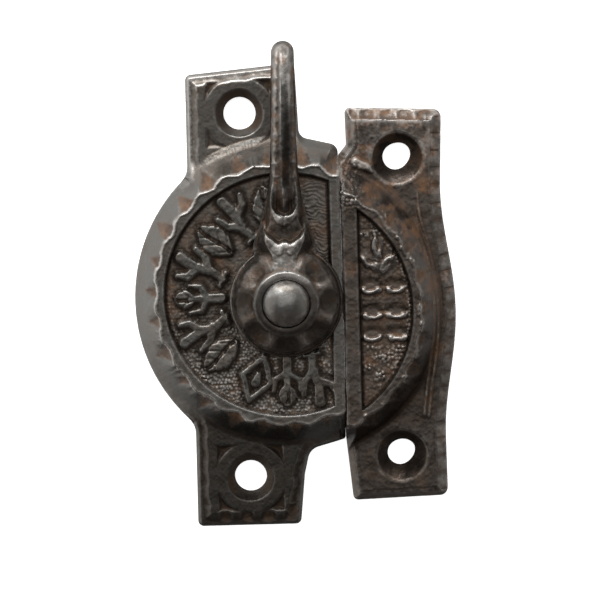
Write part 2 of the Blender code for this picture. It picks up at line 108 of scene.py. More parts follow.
# Lever.
LEVER_LEAN = 0.02
HUB_BOTTOM = 9.9
HUB_FLANGE = 10.9
HUB_RADIUS = 8.45
RING_RADIUS = 4.4
RING_MIDDLE = 4.05
RING_INNER = 3.5
RING_TOP = 15.9
HEAD_SEAT = 15.3
HEAD_RADIUS = 3.45
HEAD_BASE = 15.6
HEAD_TOP = 18.2

# What the camera sees at the height of the rails.
VIEW_WIDTH = 91.8
VIEW_CENTRE = (2.03, -0.9)


# ---- Numbers ----


def ramp(low, high, value):
    return np.clip((value - low) / (high - low), 0.0, 1.0)


def smooth(low, high, value):
    t = ramp(low, high, value)
    return t * t * (3 - 2 * t)


def mix(a, b, share):
    return a + (b - a) * share


def soft_min(a, b, width):
    share = np.clip(0.5 + 0.5 * (b - a) / width, 0.0, 1.0)
    return mix(b, a, share) - width * share * (1 - share)


def soft_max(a, b, width):
    return -soft_min(-a, -b, width)


def largest(marks):
    return np.maximum.reduce(marks)


def hashed(i, j, seed):
    """A fixed number from 0 to 1 for each pair of whole numbers."""
    mixed = np.sin(i * 127.1 + j * 311.7 + seed * 74.7) * 43758.5453
    return mixed - np.floor(mixed)


def value_noise(x, y, seed):
    i, j = np.floor(x), np.floor(y)
    u, v = x - i, y - j
    u, v = u * u * (3 - 2 * u), v * v * (3 - 2 * v)
    low = mix(hashed(i, j, seed), hashed(i + 1, j, seed), u)
    high = mix(hashed(i, j + 1, seed), hashed(i + 1, j + 1, seed), u)
    return mix(low, high, v) * 2 - 1


def rough(x, y, size, seed, octaves=3):
    """Layered noise from -1 to 1, whose largest lumps have the size given in millimetres."""
    total = np.zeros_like(x)
    for octave in range(octaves):
        total += value_noise(x / size * 2**octave, y / size * 2**octave, seed + octave) / 2**octave
    return total / 1.75


def pebbles(x, y, pitch, seed, jitter=0.5):
    """Rounded beads on a loose grid: 1 on a bead's top, 0 between beads."""
    column, row = np.floor(x / pitch), np.floor(y / pitch)
    nearest = np.full_like(x, 9.0)
    for i in (-1, 0, 1):
        for j in (-1, 0, 1):
            at_i, at_j = column + i, row + j
            bead_x = (at_i + 0.5 + jitter * (hashed(at_i, at_j, seed) - 0.5) + 0.5 * (at_j % 2)) * pitch
            bead_y = (at_j + 0.5 + jitter * (hashed(at_i, at_j, seed + 9) - 0.5)) * pitch
            nearest = np.minimum(nearest, np.hypot(x - bead_x, y - bead_y))
    return np.sqrt(np.clip(1 - (nearest / (0.62 * pitch)) ** 2, 0.0, 1.0))


def stroke(x, y, start, end, start_width, end_width):
    """How far inside a straight stroke with round ends each point lies, in millimetres."""
    run_x, run_y = end[0] - start[0], end[1] - start[1]
    along = np.clip(((x - start[0]) * run_x + (y - start[1]) * run_y) / (run_x**2 + run_y**2), 0.0, 1.0)
    away = np.hypot(x - start[0] - along * run_x, y - start[1] - along * run_y)
    return mix(start_width, end_width, along) / 2 - away


# ---- Outlines ----


def arc(radius, start, end, count, centre=(0.0, 0.0)):
    angles = np.radians(np.linspace(start, end, count + 1))
    return [(centre[0] + radius * math.cos(a), centre[1] + radius * math.sin(a)) for a in angles]


def fillet(before, corner, after, radius, steps=8):
    """Points of an arc that rounds a corner between two straight edges."""
    inward = np.subtract(before, corner) / np.hypot(*np.subtract(before, corner))
    outward = np.subtract(after, corner) / np.hypot(*np.subtract(after, corner))
    opening = math.acos(max(-1.0, min(1.0, float(inward @ outward))))
    middle = (inward + outward) / np.hypot(*(inward + outward))
    centre = np.asarray(corner) + middle * radius / math.sin(opening / 2)
    reach = radius / math.tan(opening / 2)
    first = math.atan2(*(np.asarray(corner) + inward * reach - centre)[::-1])
    last = math.atan2(*(np.asarray(corner) + outward * reach - centre)[::-1])
    turn = (last - first + math.pi) % (2 * math.pi) - math.pi
    return arc(radius, math.degrees(first), math.degrees(first + turn), steps, centre)


def rounded(corners):
    """A closed outline from corners (x, y, radius), where a radius of 0 keeps the corner sharp."""
    points = []
    for i, (x, y, radius) in enumerate(corners):
        if radius == 0:
            points.append((x, y))
        else:
            points += fillet(corners[i - 1][:2], (x, y), corners[(i + 1) % len(corners)][:2], radius)
    return np.array(points)


def case_outline():
    run = math.degrees(math.acos((EAR_LEFT - LOBE_CENTRE[0]) / LOBE_RADIUS))
    lobe = arc(LOBE_RADIUS, run, 360.0 - run, 90, LOBE_CENTRE)
    return rounded([
        (EAR_LEFT - EAR_LEAN, -35.25, 0.9),
        (1.2, -35.3, 0.9),
        (2.0, -27.6, 0.0),
        (2.9, -23.8, 2.2),
        (SEAM_X, -22.3, 0.5),
        (SEAM_X, 22.6, 1.4),
        (2.6, 24.0, 1.5),
        (2.2, 35.2, 0.9),
        (EAR_LEFT + EAR_LEAN, 33.8, 0.9),
        (*lobe[0], 3.2),
        *[(x, y, 0.0) for x, y in lobe[1:-1]],
        (*lobe[-1], 3.2),
    ])


def keeper_outline():
    reach, middle = 19.0, -3.0
    bulge = []
    for share in np.linspace(-1, 1, 60):
        swell = 0.5 + 0.5 * math.cos(math.pi * share)
        bulge.append((23.8 + 1.95 * swell, middle + reach * share, 0.0))
    return rounded([
        (9.4, -31.9, 0.8),
        (23.9, -31.5, 1.2),
        *bulge,
        (24.2, 27.6, 1.2),
        (9.6, 28.25, 0.8),
        (9.7, 22.6, 0.4),
        (KEEPER_SEAM_X, 21.1, 0.4),
        (KEEPER_SEAM_X, -22.0, 0.0),
    ])


def lever_outline():
    """The hub's circle with the neck and the arm, whose half width is given along its length."""
    neck = [(8.6, 4.6), (10.4, 3.95), (12.4, 3.3), (15.5, 2.6), (19.0, 2.1), (24.0, 1.85), (36.0, 1.65)]
    side = [(half, y) for y, half in neck]
    join = 34.0
    hub = arc(HUB_RADIUS, 90.0 + join, 450.0 - join, 120)
    tip = arc(1.65, 0.0, 180.0, 16, (0.0, 36.45))
    outline = np.array(hub + side[:-1] + tip + [(-x, y) for x, y in reversed(side[:-1])])
    outline[:, 0] += LEVER_LEAN * np.maximum(outline[:, 1] - HUB_RADIUS, 0.0)
    return outline


def arcs(radii, *sweep):
    return [np.array(arc(radius, *sweep)) for radius in radii]


def circle(centre, radius, pitch):
    count = max(24, int(2 * math.pi * radius / pitch))
    return np.array(arc(radius, 0.0, 360.0 - 360.0 / count, count - 1, centre))


def resampled(loop, pitch):
    """The same closed outline, with points no further apart than the pitch."""
    points = []
    for here, there in zip(loop, np.roll(loop, -1, axis=0)):
        count = max(1, math.ceil(np.hypot(*(there - here)) / pitch))
        points += [here + (there - here) * i / count for i in range(count)]
    return np.array(points)


def edge_distance(points, loop, seam_x):
    """Each point's distance from an outline, leaving out its seam, and the nearest place's way along it."""
    start, end = loop, np.roll(loop, -1, axis=0)
    if seam_x is not None:
        free = (np.abs(start[:, 0] - seam_x) > 1e-6) | (np.abs(end[:, 0] - seam_x) > 1e-6)
        start, end = start[free], end[free]
    run = end - start
    length = np.hypot(*run.T)
    travelled = np.concatenate([[0.0], np.cumsum(length)[:-1]])
    distance, along = np.empty(len(points)), np.empty(len(points))
    for first in range(0, len(points), BLOCK):
        block = slice(first, first + BLOCK)
        chunk = points[block, None, :]
        share = np.clip(((chunk - start) * run).sum(2) / length**2, 0.0, 1.0)
        away = np.hypot(*np.moveaxis(chunk - start - share[..., None] * run, 2, 0))
        best = away.argmin(1)
        rows = np.arange(len(best))
        distance[block] = away[rows, best]
        along[block] = travelled[best] + share[rows, best] * length[best]
    return distance, along


def inside(points, loop):
    result = np.zeros(len(points), bool)
    x, y = points.T
    for (x0, y0), (x1, y1) in zip(loop, np.roll(loop, -1, axis=0)):
        if y0 == y1:
            continue
        crossing = (y0 > y) != (y1 > y)
        result ^= crossing & (x < (x1 - x0) * (y - y0) / (y1 - y0) + x0)
    return result


# ---- Relief meshes ----


def fill(loops, pitch, guides=()):
    """Triangles over an outline with holes: its points, and the triangles' corners."""
    low, high = loops[0].min(0), loops[0].max(0)
    columns = np.arange(low[0] + pitch / 2, high[0], pitch)
    rows = np.arange(low[1] + pitch / 2, high[1], pitch * 0.866)
    grid_x, grid_y = np.meshgrid(columns, rows)
    grid_x[1::2] += pitch / 2
    grid = np.stack([grid_x.ravel(), grid_y.ravel()], 1)
    grid = grid[inside(grid, loops[0])]
    for hole in loops[1:]:
        grid = grid[~inside(grid, hole)]
    fixed = np.concatenate([*loops, *guides])
    tree = KDTree(len(fixed))
    for i, (x, y) in enumerate(fixed):
        tree.insert((x, y, 0.0), i)
    tree.balance()
    clear = [tree.find((x, y, 0.0))[2] > 0.6 * pitch for x, y in grid]
    points = np.concatenate([fixed, grid[clear]])

    edges = []
    loop_of = np.full(len(points), -1)
    first = 0
    for index, loop in enumerate(loops):
        last = first + len(loop)
        edges += [(i, i + 1 if i + 1 < last else first) for i in range(first, last)]
        loop_of[first:last] = index
        first = last
    made = delaunay_2d_cdt([Vector(p) for p in points], edges, [], 1, 1e-7)
    if len(made[0]) != len(points):
        raise ValueError("two points of a relief coincide")
    triangles = np.array(made[2])
    corners = loop_of[triangles]
    in_hole = (corners[:, 0] > 0) & (corners[:, 0] == corners[:, 1]) & (corners[:, 0] == corners[:, 2])
    return points, triangles[~in_hole]


def casting(name, outline, seam_x, holes, top, under, guides=(), under_guides=(), wall_rows=4):
    """A closed mesh between two height functions, with marks of rust, of wear with painted highlights, and of
    grime with painted shade on its points.
    """
    loops = [resampled(outline, PITCH), *holes]
    upper, upper_faces = fill(loops, PITCH, guides)
    lower, lower_faces = fill(loops, UNDER_PITCH, under_guides)
    height, *marks = top(upper[:, 0], upper[:, 1], *edge_distance(upper, outline, seam_x))
    floor = under(lower[:, 0], lower[:, 1])
    rim = sum(len(loop) for loop in loops)

    points = [np.column_stack([upper, height])]
    for row in range(1, wall_rows):
        between = mix(height[:rim], floor[:rim], row / wall_rows)
        points.append(np.column_stack([upper[:rim], between]))
    points.append(np.column_stack([lower, floor]))
    starts = np.cumsum([0] + [len(p) for p in points[:-1]])
    faces = [upper_faces, lower_faces[:, ::-1] + starts[-1]]
    first = 0
    for loop in loops:
        here = np.arange(first, first + len(loop))
        there = np.roll(here, -1)
        for above, below in zip(starts[:-1], starts[1:]):
            quads = np.column_stack([there + above, here + above, here + below, there + below])
            faces += [quads[:, [0, 1, 2]], quads[:, [0, 2, 3]]]
        first += len(loop)
    counts = [len(p) for p in points[1:]]
    shades = {
        label: np.concatenate([mark, *[np.full(n, plain) for n in counts]])
        for label, mark, plain in zip(("rust", "wear_and_highlight", "grime_and_shade"), marks, (0.4, 0.0, 0.25))
    }
    return mesh_piece(name, np.concatenate(points), np.concatenate(faces), shades)


def placed(name, data):
    obj = bpy.data.objects.new(name, data)
    bpy.context.scene.collection.objects.link(obj)
    return obj


def read_numbers(items, key, width, kind=float):
    values = np.empty(len(items) * width, kind)
    items.foreach_get(key, values)
    return values.reshape(-1, width)


def store(data, label, values):
    """Keeps one number for each point, which the material reads by its label."""
    data.attributes.new(label, "FLOAT", "POINT").data.foreach_set("value", values.astype(np.float32))


def mesh_piece(name, points, faces, shades):
    """An object from points in millimetres about the axis and triangles."""
    data = bpy.data.meshes.new(name)
    data.vertices.add(len(points))
    data.vertices.foreach_set("co", ((points + AXIS) * MM).ravel())
    data.loops.add(faces.size)
    data.loops.foreach_set("vertex_index", faces.ravel().astype(np.int32))
    data.polygons.add(len(faces))
    data.polygons.foreach_set("loop_start", np.arange(0, faces.size, 3, dtype=np.int32))
    data.polygons.foreach_set("loop_total", np.full(len(faces), 3, np.int32))
    data.update(calc_edges=True)
    data.validate()
    for label, values in shades.items():
        store(data, label, values)
    data.shade_smooth()
    data.set_sharp_from_angle(angle=math.radians(62))
    mark_curvature(data)
    return placed(name, data)


def mark_curvature(data, passes=10, full=0.045):
    """Stores 'bulge' on the points: 1 on ridges and edges, -1 in grooves and corners."""
    count = len(data.vertices)
    places = read_numbers(data.vertices, "co", 3) / MM
    normals = read_numbers(data.vertices, "normal", 3)
    ends = read_numbers(data.edges, "vertices", 2, np.int32)
    a, b = ends.T
    degree = np.bincount(ends.ravel(), minlength=count)
    relaxed = places.copy()
    for _ in range(passes):
        around = np.empty_like(relaxed)
        for k in range(3):
            total = np.bincount(a, relaxed[b, k], count) + np.bincount(b, relaxed[a, k], count)
            around[:, k] = total / degree
        relaxed = 0.5 * (relaxed + around)
    bulge = ((places - relaxed) * normals).sum(1) / full
    store(data, "bulge", np.clip(bulge, -1, 1))


# ---- Ornament ----


def scoops(along, pitch, half_width, seed):
    """A row of thumb-print hollows: 1 along each one's middle, 0 between them."""
    index = np.floor(along / pitch)
    across = (along / pitch - index - 0.5 - 0.09 * (hashed(index, 0, seed) - 0.5)) * pitch
    width = half_width * (0.85 + 0.3 * hashed(index, 1, seed))
    return np.clip(1 - (across / width) ** 2, 0.0, 1.0)


def ledge(place, middle, half_width):
    """A soft raised line: 1 along its middle, 0 from its half width outwards."""
    return np.clip(1 - ((place - middle) / half_width) ** 2, 0.0, 1.0)


def countersunk(z, x, y, places, hole, top, radius=COUNTERSINK_RADIUS, drift=0.0, lip=0.14):
    """Cuts the countersinks, and returns how far inside one each point is, less on its low side, which faces
    the light; it marks rust, grime and painted shade.
    """
    within = np.zeros_like(x)
    slope = COUNTERSINK_DEPTH / (radius - hole)
    for px, py in places:
        r = np.hypot(x - px, y - py + drift) * (1 + 0.012 * np.sin(3 * np.arctan2(y - py, x - px) + px))
        z = soft_min(z, top - (radius - r) * slope + 99 * (r > 5), lip)
        low = smooth(-0.45, -0.9, (y - py + drift) / radius)
        within = np.maximum(within, smooth(radius, radius - 0.3, r) * (1 - 0.75 * low))
    return z, within


def mirrored(strokes):
    return [([(-u, v) for u, v in points], *widths) for points, *widths in strokes]


# Each motif is a list of strokes: its points (across, outwards), and its width at both ends.
TWIG = [
    ([(-0.5, -3.0), (0.1, -1.3), (-0.1, 0.6), (0.5, 2.9)], 1.3, 1.6),
    ([(0.0, -1.1), (1.5, -0.1), (2.1, 1.3)], 1.5, 1.0),
    ([(0.0, 0.3), (-1.5, 1.3), (-1.8, 2.5)], 1.5, 1.0),
    ([(-1.3, -2.9), (0.3, -3.1)], 0.9, 0.9),
]
LOZENGE = [([(0.0, 2.9), (1.8, 0.0), (0.0, -2.9)], 1.0, 1.0), ([(0.0, 0.5), (0.0, -0.6)], 1.5, 0.9)]
BUD = [
    ([(0.0, -3.1), (0.0, 0.8)], 1.5, 1.1),
    ([(0.0, -1.3), (-1.5, -0.5), (-1.7, 0.9)], 1.3, 0.8),
    ([(0.0, -1.3), (1.5, -0.5), (1.7, 0.9)], 1.3, 0.8),
]
MOTIFS = {
    "twig": TWIG,
    "counter_twig": mirrored(TWIG),
    "lozenge": LOZENGE + mirrored(LOZENGE[:1]),
    "bud": BUD,
}
LEAVES = {"leaf": (0.0, 3.1, 1.9), "bud": (1.5, 1.7, 1.3)}  # middle outwards, half length, half width
MOTIF_RING = 13.3
MOTIF_SCALE = 1.2
MOTIF_PLACES = (
    (101, "leaf"), (121, "twig"), (141, "leaf"), (161, "counter_twig"), (181, "bud"),
    (202, "twig"), (221, "leaf"), (249, "lozenge"), (269, "bud"), (288, "counter_twig"),
)


def motif_relief(x, y):
    """The raised twigs and leaves on the case's field, and a line round them that carries painted shade, from
    0 to 1.
    """
    inside_by = np.full_like(x, -9.0)
    for degrees, kind in MOTIF_PLACES:
        angle = math.radians(degrees)
        out_x, out_y = math.cos(angle), math.sin(angle)
        radial = (x - BOSS_CENTRE[0]) * out_x + (y - BOSS_CENTRE[1]) * out_y - MOTIF_RING
        across = -(x - BOSS_CENTRE[0]) * out_y + (y - BOSS_CENTRE[1]) * out_x
        near = (np.abs(radial) < 5) & (np.abs(across) < 4)
        u, v = across[near] / MOTIF_SCALE, radial[near] / MOTIF_SCALE
        for points, start_width, end_width in MOTIFS.get(kind, ()):
            count = len(points) - 1
            for index, (start, end) in enumerate(zip(points, points[1:])):
                widths = [mix(start_width, end_width, (index + step) / count) for step in (0, 1)]
                inside_by[near] = np.maximum(inside_by[near], stroke(u, v, start, end, *widths))
        if kind in LEAVES:
            middle, half_length, half_width = LEAVES[kind]
            place = np.clip((v - middle) / half_length, -1, 1)
            past_tip = np.maximum(np.abs(v - middle) - half_length, 0.0)
            blade = half_width * (1 - np.abs(place) ** 1.8) - np.abs(u) - 0.9 * past_tip
            midrib = 0.33 * ledge(u - 0.15 * np.sin(v), 0.0, 0.34)
            veins = 0.14 * ledge((v - 1.1 * np.abs(u)) % 1.5, 0.75, 0.3)
            crease = midrib + veins
            inside_by[near] = np.maximum(inside_by[near], np.minimum(blade, 0.4) - crease)
    inside_by = inside_by + 0.1 * rough(x, y, 0.9, 89)
    return smooth(-0.15, 0.38, inside_by), ledge(inside_by, -0.25, 0.4)


def boss_side(x, y, centre, radius, steepness, phase, wave, seed):
    """A round boss's drafted side, below a wavy rim with triangular notches under it.

    Returns its height, how deep in a notch each point is, and its distance from the centre and the rim.
    """
    from_x, from_y = x - centre[0], y - centre[1]
    r = np.hypot(from_x, from_y)
    degrees = (np.degrees(np.arctan2(from_y, from_x)) - phase + 180.0) % 360.0 - 180.0
    turn = degrees / NOTCH_TURN
    index = np.round(turn)
    size = 0.75 + 0.5 * hashed(index, 0, seed)
    skew = 0.5 * (hashed(index, 1, seed) - 0.5)
    across = np.abs(np.radians((turn - index) * NOTCH_TURN) * r - skew)
    waviness = wave * np.cos(2 * math.pi * turn) * size - 0.17 * rough(turn * 3.1, 0.0, 1.0, seed)
    waviness = waviness + 0.13 * rough(x, y, 0.7, seed + 4)
    beyond = r - radius + waviness * smooth(radius + 2.5, radius + 0.3, r)
    z = soft_min(BOSS_TOP - steepness * beyond, BOSS_TOP, 0.3)
    half_width = 1.3 * size * (1 - np.clip(beyond / (2.4 * size), 0, 2) ** 1.3)
    within = half_width - across + 0.25 * rough(x, y, 0.9, seed + 2)
    notch = smooth(-0.45, 0.7, np.minimum(within, beyond * 1.5))
    return z - 0.28 * notch + 0.08 * ledge(beyond, -0.12, 0.35), notch, r, beyond


def case_field(x, y, r):
    """The sunk field inside the rim and the bar: its height, beads, motifs and the painted shade lines round
    them.
    """
    lower = smooth(2.0, -9.0, y + 0.25 * x + 2 * rough(x, y, 4.0, 35))
    grain = pebbles(x, y, 0.5, 11, 0.7) * mix(0.35, 1.0, lower)
    sway = 1.1 * np.sin(x / 0.3 + 3 * rough(x, y, 1.5, 31))
    ripples = 0.5 + 0.5 * np.sin(y / 0.1 + sway + 8 * rough(x, y, 1.4, 33))
    right = smooth(1.6, 3.0, x) * smooth(3.0, 6.0, y)
    ground = mix(0.15 * grain, 0.06 * ripples, right) * (1 + 0.9 * rough(x, y, 1.4, 41))
    motif, motif_shade_line = motif_relief(x, y)
    round_the_rim = np.arctan2(y - BOSS_CENTRE[1], x) * RING_INSIDE
    beads = pebbles(r, round_the_rim, 0.5, 17, 0.2) * smooth(17.3, 17.5, r)
    field = FIELD_TOP - 0.1 + (ground + 0.07 * rough(x, y, 0.9, 47)) * (1 - motif) + 0.1 * beads * (y < 0)
    field = field + motif * (0.78 + 0.14 * rough(x, y, 1.3, 43) + 0.03 * rough(x, y, 0.35, 45))
    field = soft_max(field, BOSS_TOP - 3.0 * (np.hypot(x, y) - 6.2), 0.1)
    return np.minimum(field, BOSS_TOP), grain, motif, motif_shade_line


def case_top(x, y, d, along):
    boss, notch, r, beyond = boss_side(x, y, BOSS_CENTRE, BOSS_RADIUS, 2.0, 177.3, 0.27, 3)
    scotia = mix(EAR_TOP - 0.8, BOSS_TOP, (1 - ramp(0.0, 5.2, beyond)) ** 1.9) - 0.2 * notch
    over_ear = smooth(15.0, 20.0, np.abs(y - 0.5)) * (x < 7.5)
    boss = np.where(beyond > 0, mix(boss, soft_min(scotia, BOSS_TOP, 0.3), over_ear), boss)

    # Ears: a bevelled plate with thumb prints along the bevel, and sunk corners outside each screw's ring.
    bottom_end = ramp(-30.5, -33.0, y)
    bevel = 1.75 + 0.35 * bottom_end
    prints = scoops(along, mix(3.75, 3.3, bottom_end > 0.5), 1.25, 5)
    top_end = smooth(31.0, 32.0, y)
    prints = prints * mix(1.0, 0.5, smooth(-11.0, -12.5, x)) * mix(1.0, 0.5, top_end)
    ear_edge = d - 0.22 * prints * smooth(0.5, 1.6, d)
    bevel_z = mix(EDGE_HEIGHT, EAR_TOP, ear_edge / bevel)
    corners = np.zeros_like(x)
    for px, py in CASE_SCREWS:
        square = np.maximum(np.abs(x - px), np.abs(y - py)) + 0.15 * rough(x, y, 1.5, 55)
        corners = np.maximum(corners, smooth(5.3, 4.5, square) * smooth(5.2, 5.9, np.hypot(x - px, y - py)))
    upper = smooth(14.0, 18.0, y)
    corners = corners * (1 - 0.45 * upper * smooth(26.5, 24.5, y))
    hatch = 1 + 0.22 * np.sin(np.degrees(np.arctan2(y, x)) * 5.5 + r) * rough(x, y, 2.0, 21)
    ridge = ledge(r, RIDGE_RADIUS, 1.7) * upper * hatch * smooth(0.8, 2.0, d)
    ridge = ridge * smooth(-13.0, -10.5, x) * smooth(0.0, -3.5, x)
    ear = EAR_TOP - 0.6 * corners + 0.5 * ridge
    dent = prints * ledge(d, 0.7 * bevel, 0.65 * bevel)
    ear = soft_min(ear, bevel_z, 0.3) - mix(0.1, 0.34, bottom_end) * smooth(0.1, 0.7, dent) * (r > 23.2)

    body = soft_min(boss, EDGE_HEIGHT + 2.75 * d, 0.5)
    z = soft_max(ear, body, 0.5)
    z = soft_min(z, EDGE_HEIGHT + 0.3 + 3.0 * d, 0.4)
    z, sunk_screw = countersunk(z, x, y, CASE_SCREWS, CASE_SCREW_RADIUS, EAR_TOP)
    z = z - 0.2 * smooth(SEAM_X - 0.3, SEAM_X, x)

    within = np.minimum(RING_INSIDE - r, BAR_INSIDE - x)
    sunk = smooth(-0.18, 0.2, within)
    field, grain, motif, motif_shade_line = case_field(x, y, r)
    z = mix(z, field, sunk) + 0.05 * rough(x, y, 1.3, 51) + 0.03 * rough(x, y, 0.35, 53)

    outside = 1 - sunk
    lit = smooth(-3.0, -9.0, y)  # the low half of the inner wall faces the light: painted highlight there, and painted shade on the high half
    # Painted shade on the boss's low side, which faces away from the light.
    low_side = smooth(-15.0, -20.0, y) * smooth(0.3, 1.3, beyond) * outside
    on_ear = (r > 23.2) * (np.abs(y) > 18)
    # A painted highlight along the rim's upper half, which faces the light, broken up by noise.
    highlit_rim = outside * smooth(-8, 6, y) * smooth(-0.9, 0.1, rough(x, y, 1.2, 91))
    rust = largest([
        1.1 * notch * outside,
        mix(0.35, 0.8, bottom_end) * smooth(0.2, 0.9, dent) * on_ear * (1 - 0.8 * top_end),
        0.8 * corners,
        0.7 * sunk_screw,
        sunk * (1 - motif) * (0.55 - 0.3 * grain + 0.5 * rough(x, y, 2.5, 59)),
        0.35 * upper * outside * smooth(0.6, 2.0, beyond) * smooth(22.7, 21.5, r),
    ])
    # Rubbing on the motifs, the ridge and the rim's edge, and painted highlights: the upper ear's left bevel
    # and top end, the rim's upper half, the low half of the ring's inner wall, and the beads of the field,
    # brighter on its low half; the motifs' flat tops are then made darker.
    wear_and_highlight = largest([
        0.12 * motif * sunk,
        0.3 * ridge,
        0.7 * upper * ledge(d, 0.8, 0.9) * np.maximum(smooth(-9.0, -11.0, x), 0.8 * top_end),
        0.7 * ledge(d, bevel, 0.25) * top_end,
        0.9 * ledge(beyond, 0.02, 0.3) * highlit_rim,
        0.35 * ledge(beyond, -0.1, 0.3) * outside,
        0.85 * ledge(within, 0.0, 0.3) * lit * (x < BAR_INSIDE),
        mix(0.3, 0.6, lit) * sunk * smooth(0.6, 0.95, grain) * (1 - motif),
    ])
    wear_and_highlight = wear_and_highlight - 0.35 * smooth(0.6, 1.0, motif) * sunk
    # Grime in the countersinks and sunk corners, with patches near the rim, and painted shade: the
    # countersinks' high sides, the cove by the ridge, the ring's inner wall on its high half, the line round
    # the motifs, the boss's low side, and the bottom ear in the boss's shadow.
    grime_and_shade = largest([
        0.6 * sunk_screw,
        0.55 * corners,
        0.3 * ledge(r, 21.5, 1.8) * upper * (1 - ridge),
        0.22 * smooth(1.6, 2.4, d) * smooth(23.0, 24.5, y),
        0.25 * smooth(-0.3, 0.5, rough(x, y, 0.9, 57)) * ledge(beyond, -0.75, 0.75) * (1 - sunk),
        0.8 * ledge(within, 0.1, 0.42) * (1 - lit),
        0.65 * motif_shade_line * sunk,
        0.75 * low_side * (1 - 0.4 * smooth(0.0, 4.0, x)),
        0.42 * smooth(-20.0, -24.0, y) * smooth(1.4, 2.6, d),
    ])
    return z, rust, wear_and_highlight, grime_and_shade


def case_under(x, y):
    r = np.hypot(x - BOSS_CENTRE[0], y - BOSS_CENTRE[1])
    chamber = ROOF_UNDERSIDE * ramp(CHAMBER_RADIUS, CHAMBER_ROOF_RADIUS, r)
    walled = (x > BAR_INSIDE) & (np.abs(y) > SIDE_OPENING)
    opening = (x > BAR_INSIDE) & (np.abs(y) <= SIDE_OPENING)
    z = np.where(walled, 0.0, np.where(opening, ROOF_UNDERSIDE, chamber))
    return np.where(np.hypot(x, y) < COLLAR_RADIUS, COLLAR_UNDERSIDE, z)


KEEPER_PADS = [(column, row) for column in (12.7, 16.4) for row in (1.6, -2.3, -5.6)]
KEEPER_PETALS = ((13.9, 7.5, 0.0), (12.6, 5.4, 0.9), (15.4, 4.9, -0.8))  # place and lean of each


def keeper_field(x, y, r):
    """The sunk lens between the rim and the bar: its height, beads, smooth part, pads, their lips and a
    painted shadow line above each pad.
    """
    grain = pebbles(x, y, 0.56, 19, 0.9)
    grain = grain * mix(0.25, 1.0, smooth(-0.35, 0.3, rough(x, y, 1.5, 95) + 0.12 * (x - 13.0)))
    pads, lips, pad_shadows = np.zeros((3, len(x)))
    for column, row in KEEPER_PADS:
        across, down = np.abs(x - column) / 1.4, (y - row) / 1.05
        swell = (across**3 + np.abs(down) ** 3) ** (1 / 3) + 0.2 * rough(x, y, 0.9, 69)
        pads = np.maximum(pads, smooth(1.15, 0.8, swell) * smooth(1.0, -0.6, down))
        lips = np.maximum(lips, ledge(swell, 0.82, 0.42) * smooth(0.1, -0.5, down))
        # A painted shadow along each pad's upper edge.
        pad_shadows = np.maximum(pad_shadows, ledge(swell, 0.95, 0.6) * smooth(-0.1, 0.5, down))
    for petal_x, petal_y, lean in KEEPER_PETALS:
        across = (x - petal_x) * math.cos(lean) + (y - petal_y) * math.sin(lean)
        outwards = (y - petal_y) * math.cos(lean) - (x - petal_x) * math.sin(lean)
        swell = np.hypot(across / 0.95, outwards / 1.8) + 0.3 * rough(x, y, 0.9, 73)
        pads = np.maximum(pads, smooth(1.1, 0.6, swell))
        lips = np.maximum(lips, ledge(swell, 0.65, 0.6) * smooth(0.6, -0.2, across + 0.3 * outwards))
    plain = smooth(-7.6, -6.8, y) * smooth(9.6, 8.6, y) * smooth(17.9, 17.0, r)
    field = FIELD_TOP - 0.15 + (0.26 * (1 - plain) + 0.08) * grain * (1 - pads)
    field = field + 0.2 * pads + 0.4 * lips
    return np.minimum(field, BOSS_TOP), grain, plain, pads, lips, pad_shadows


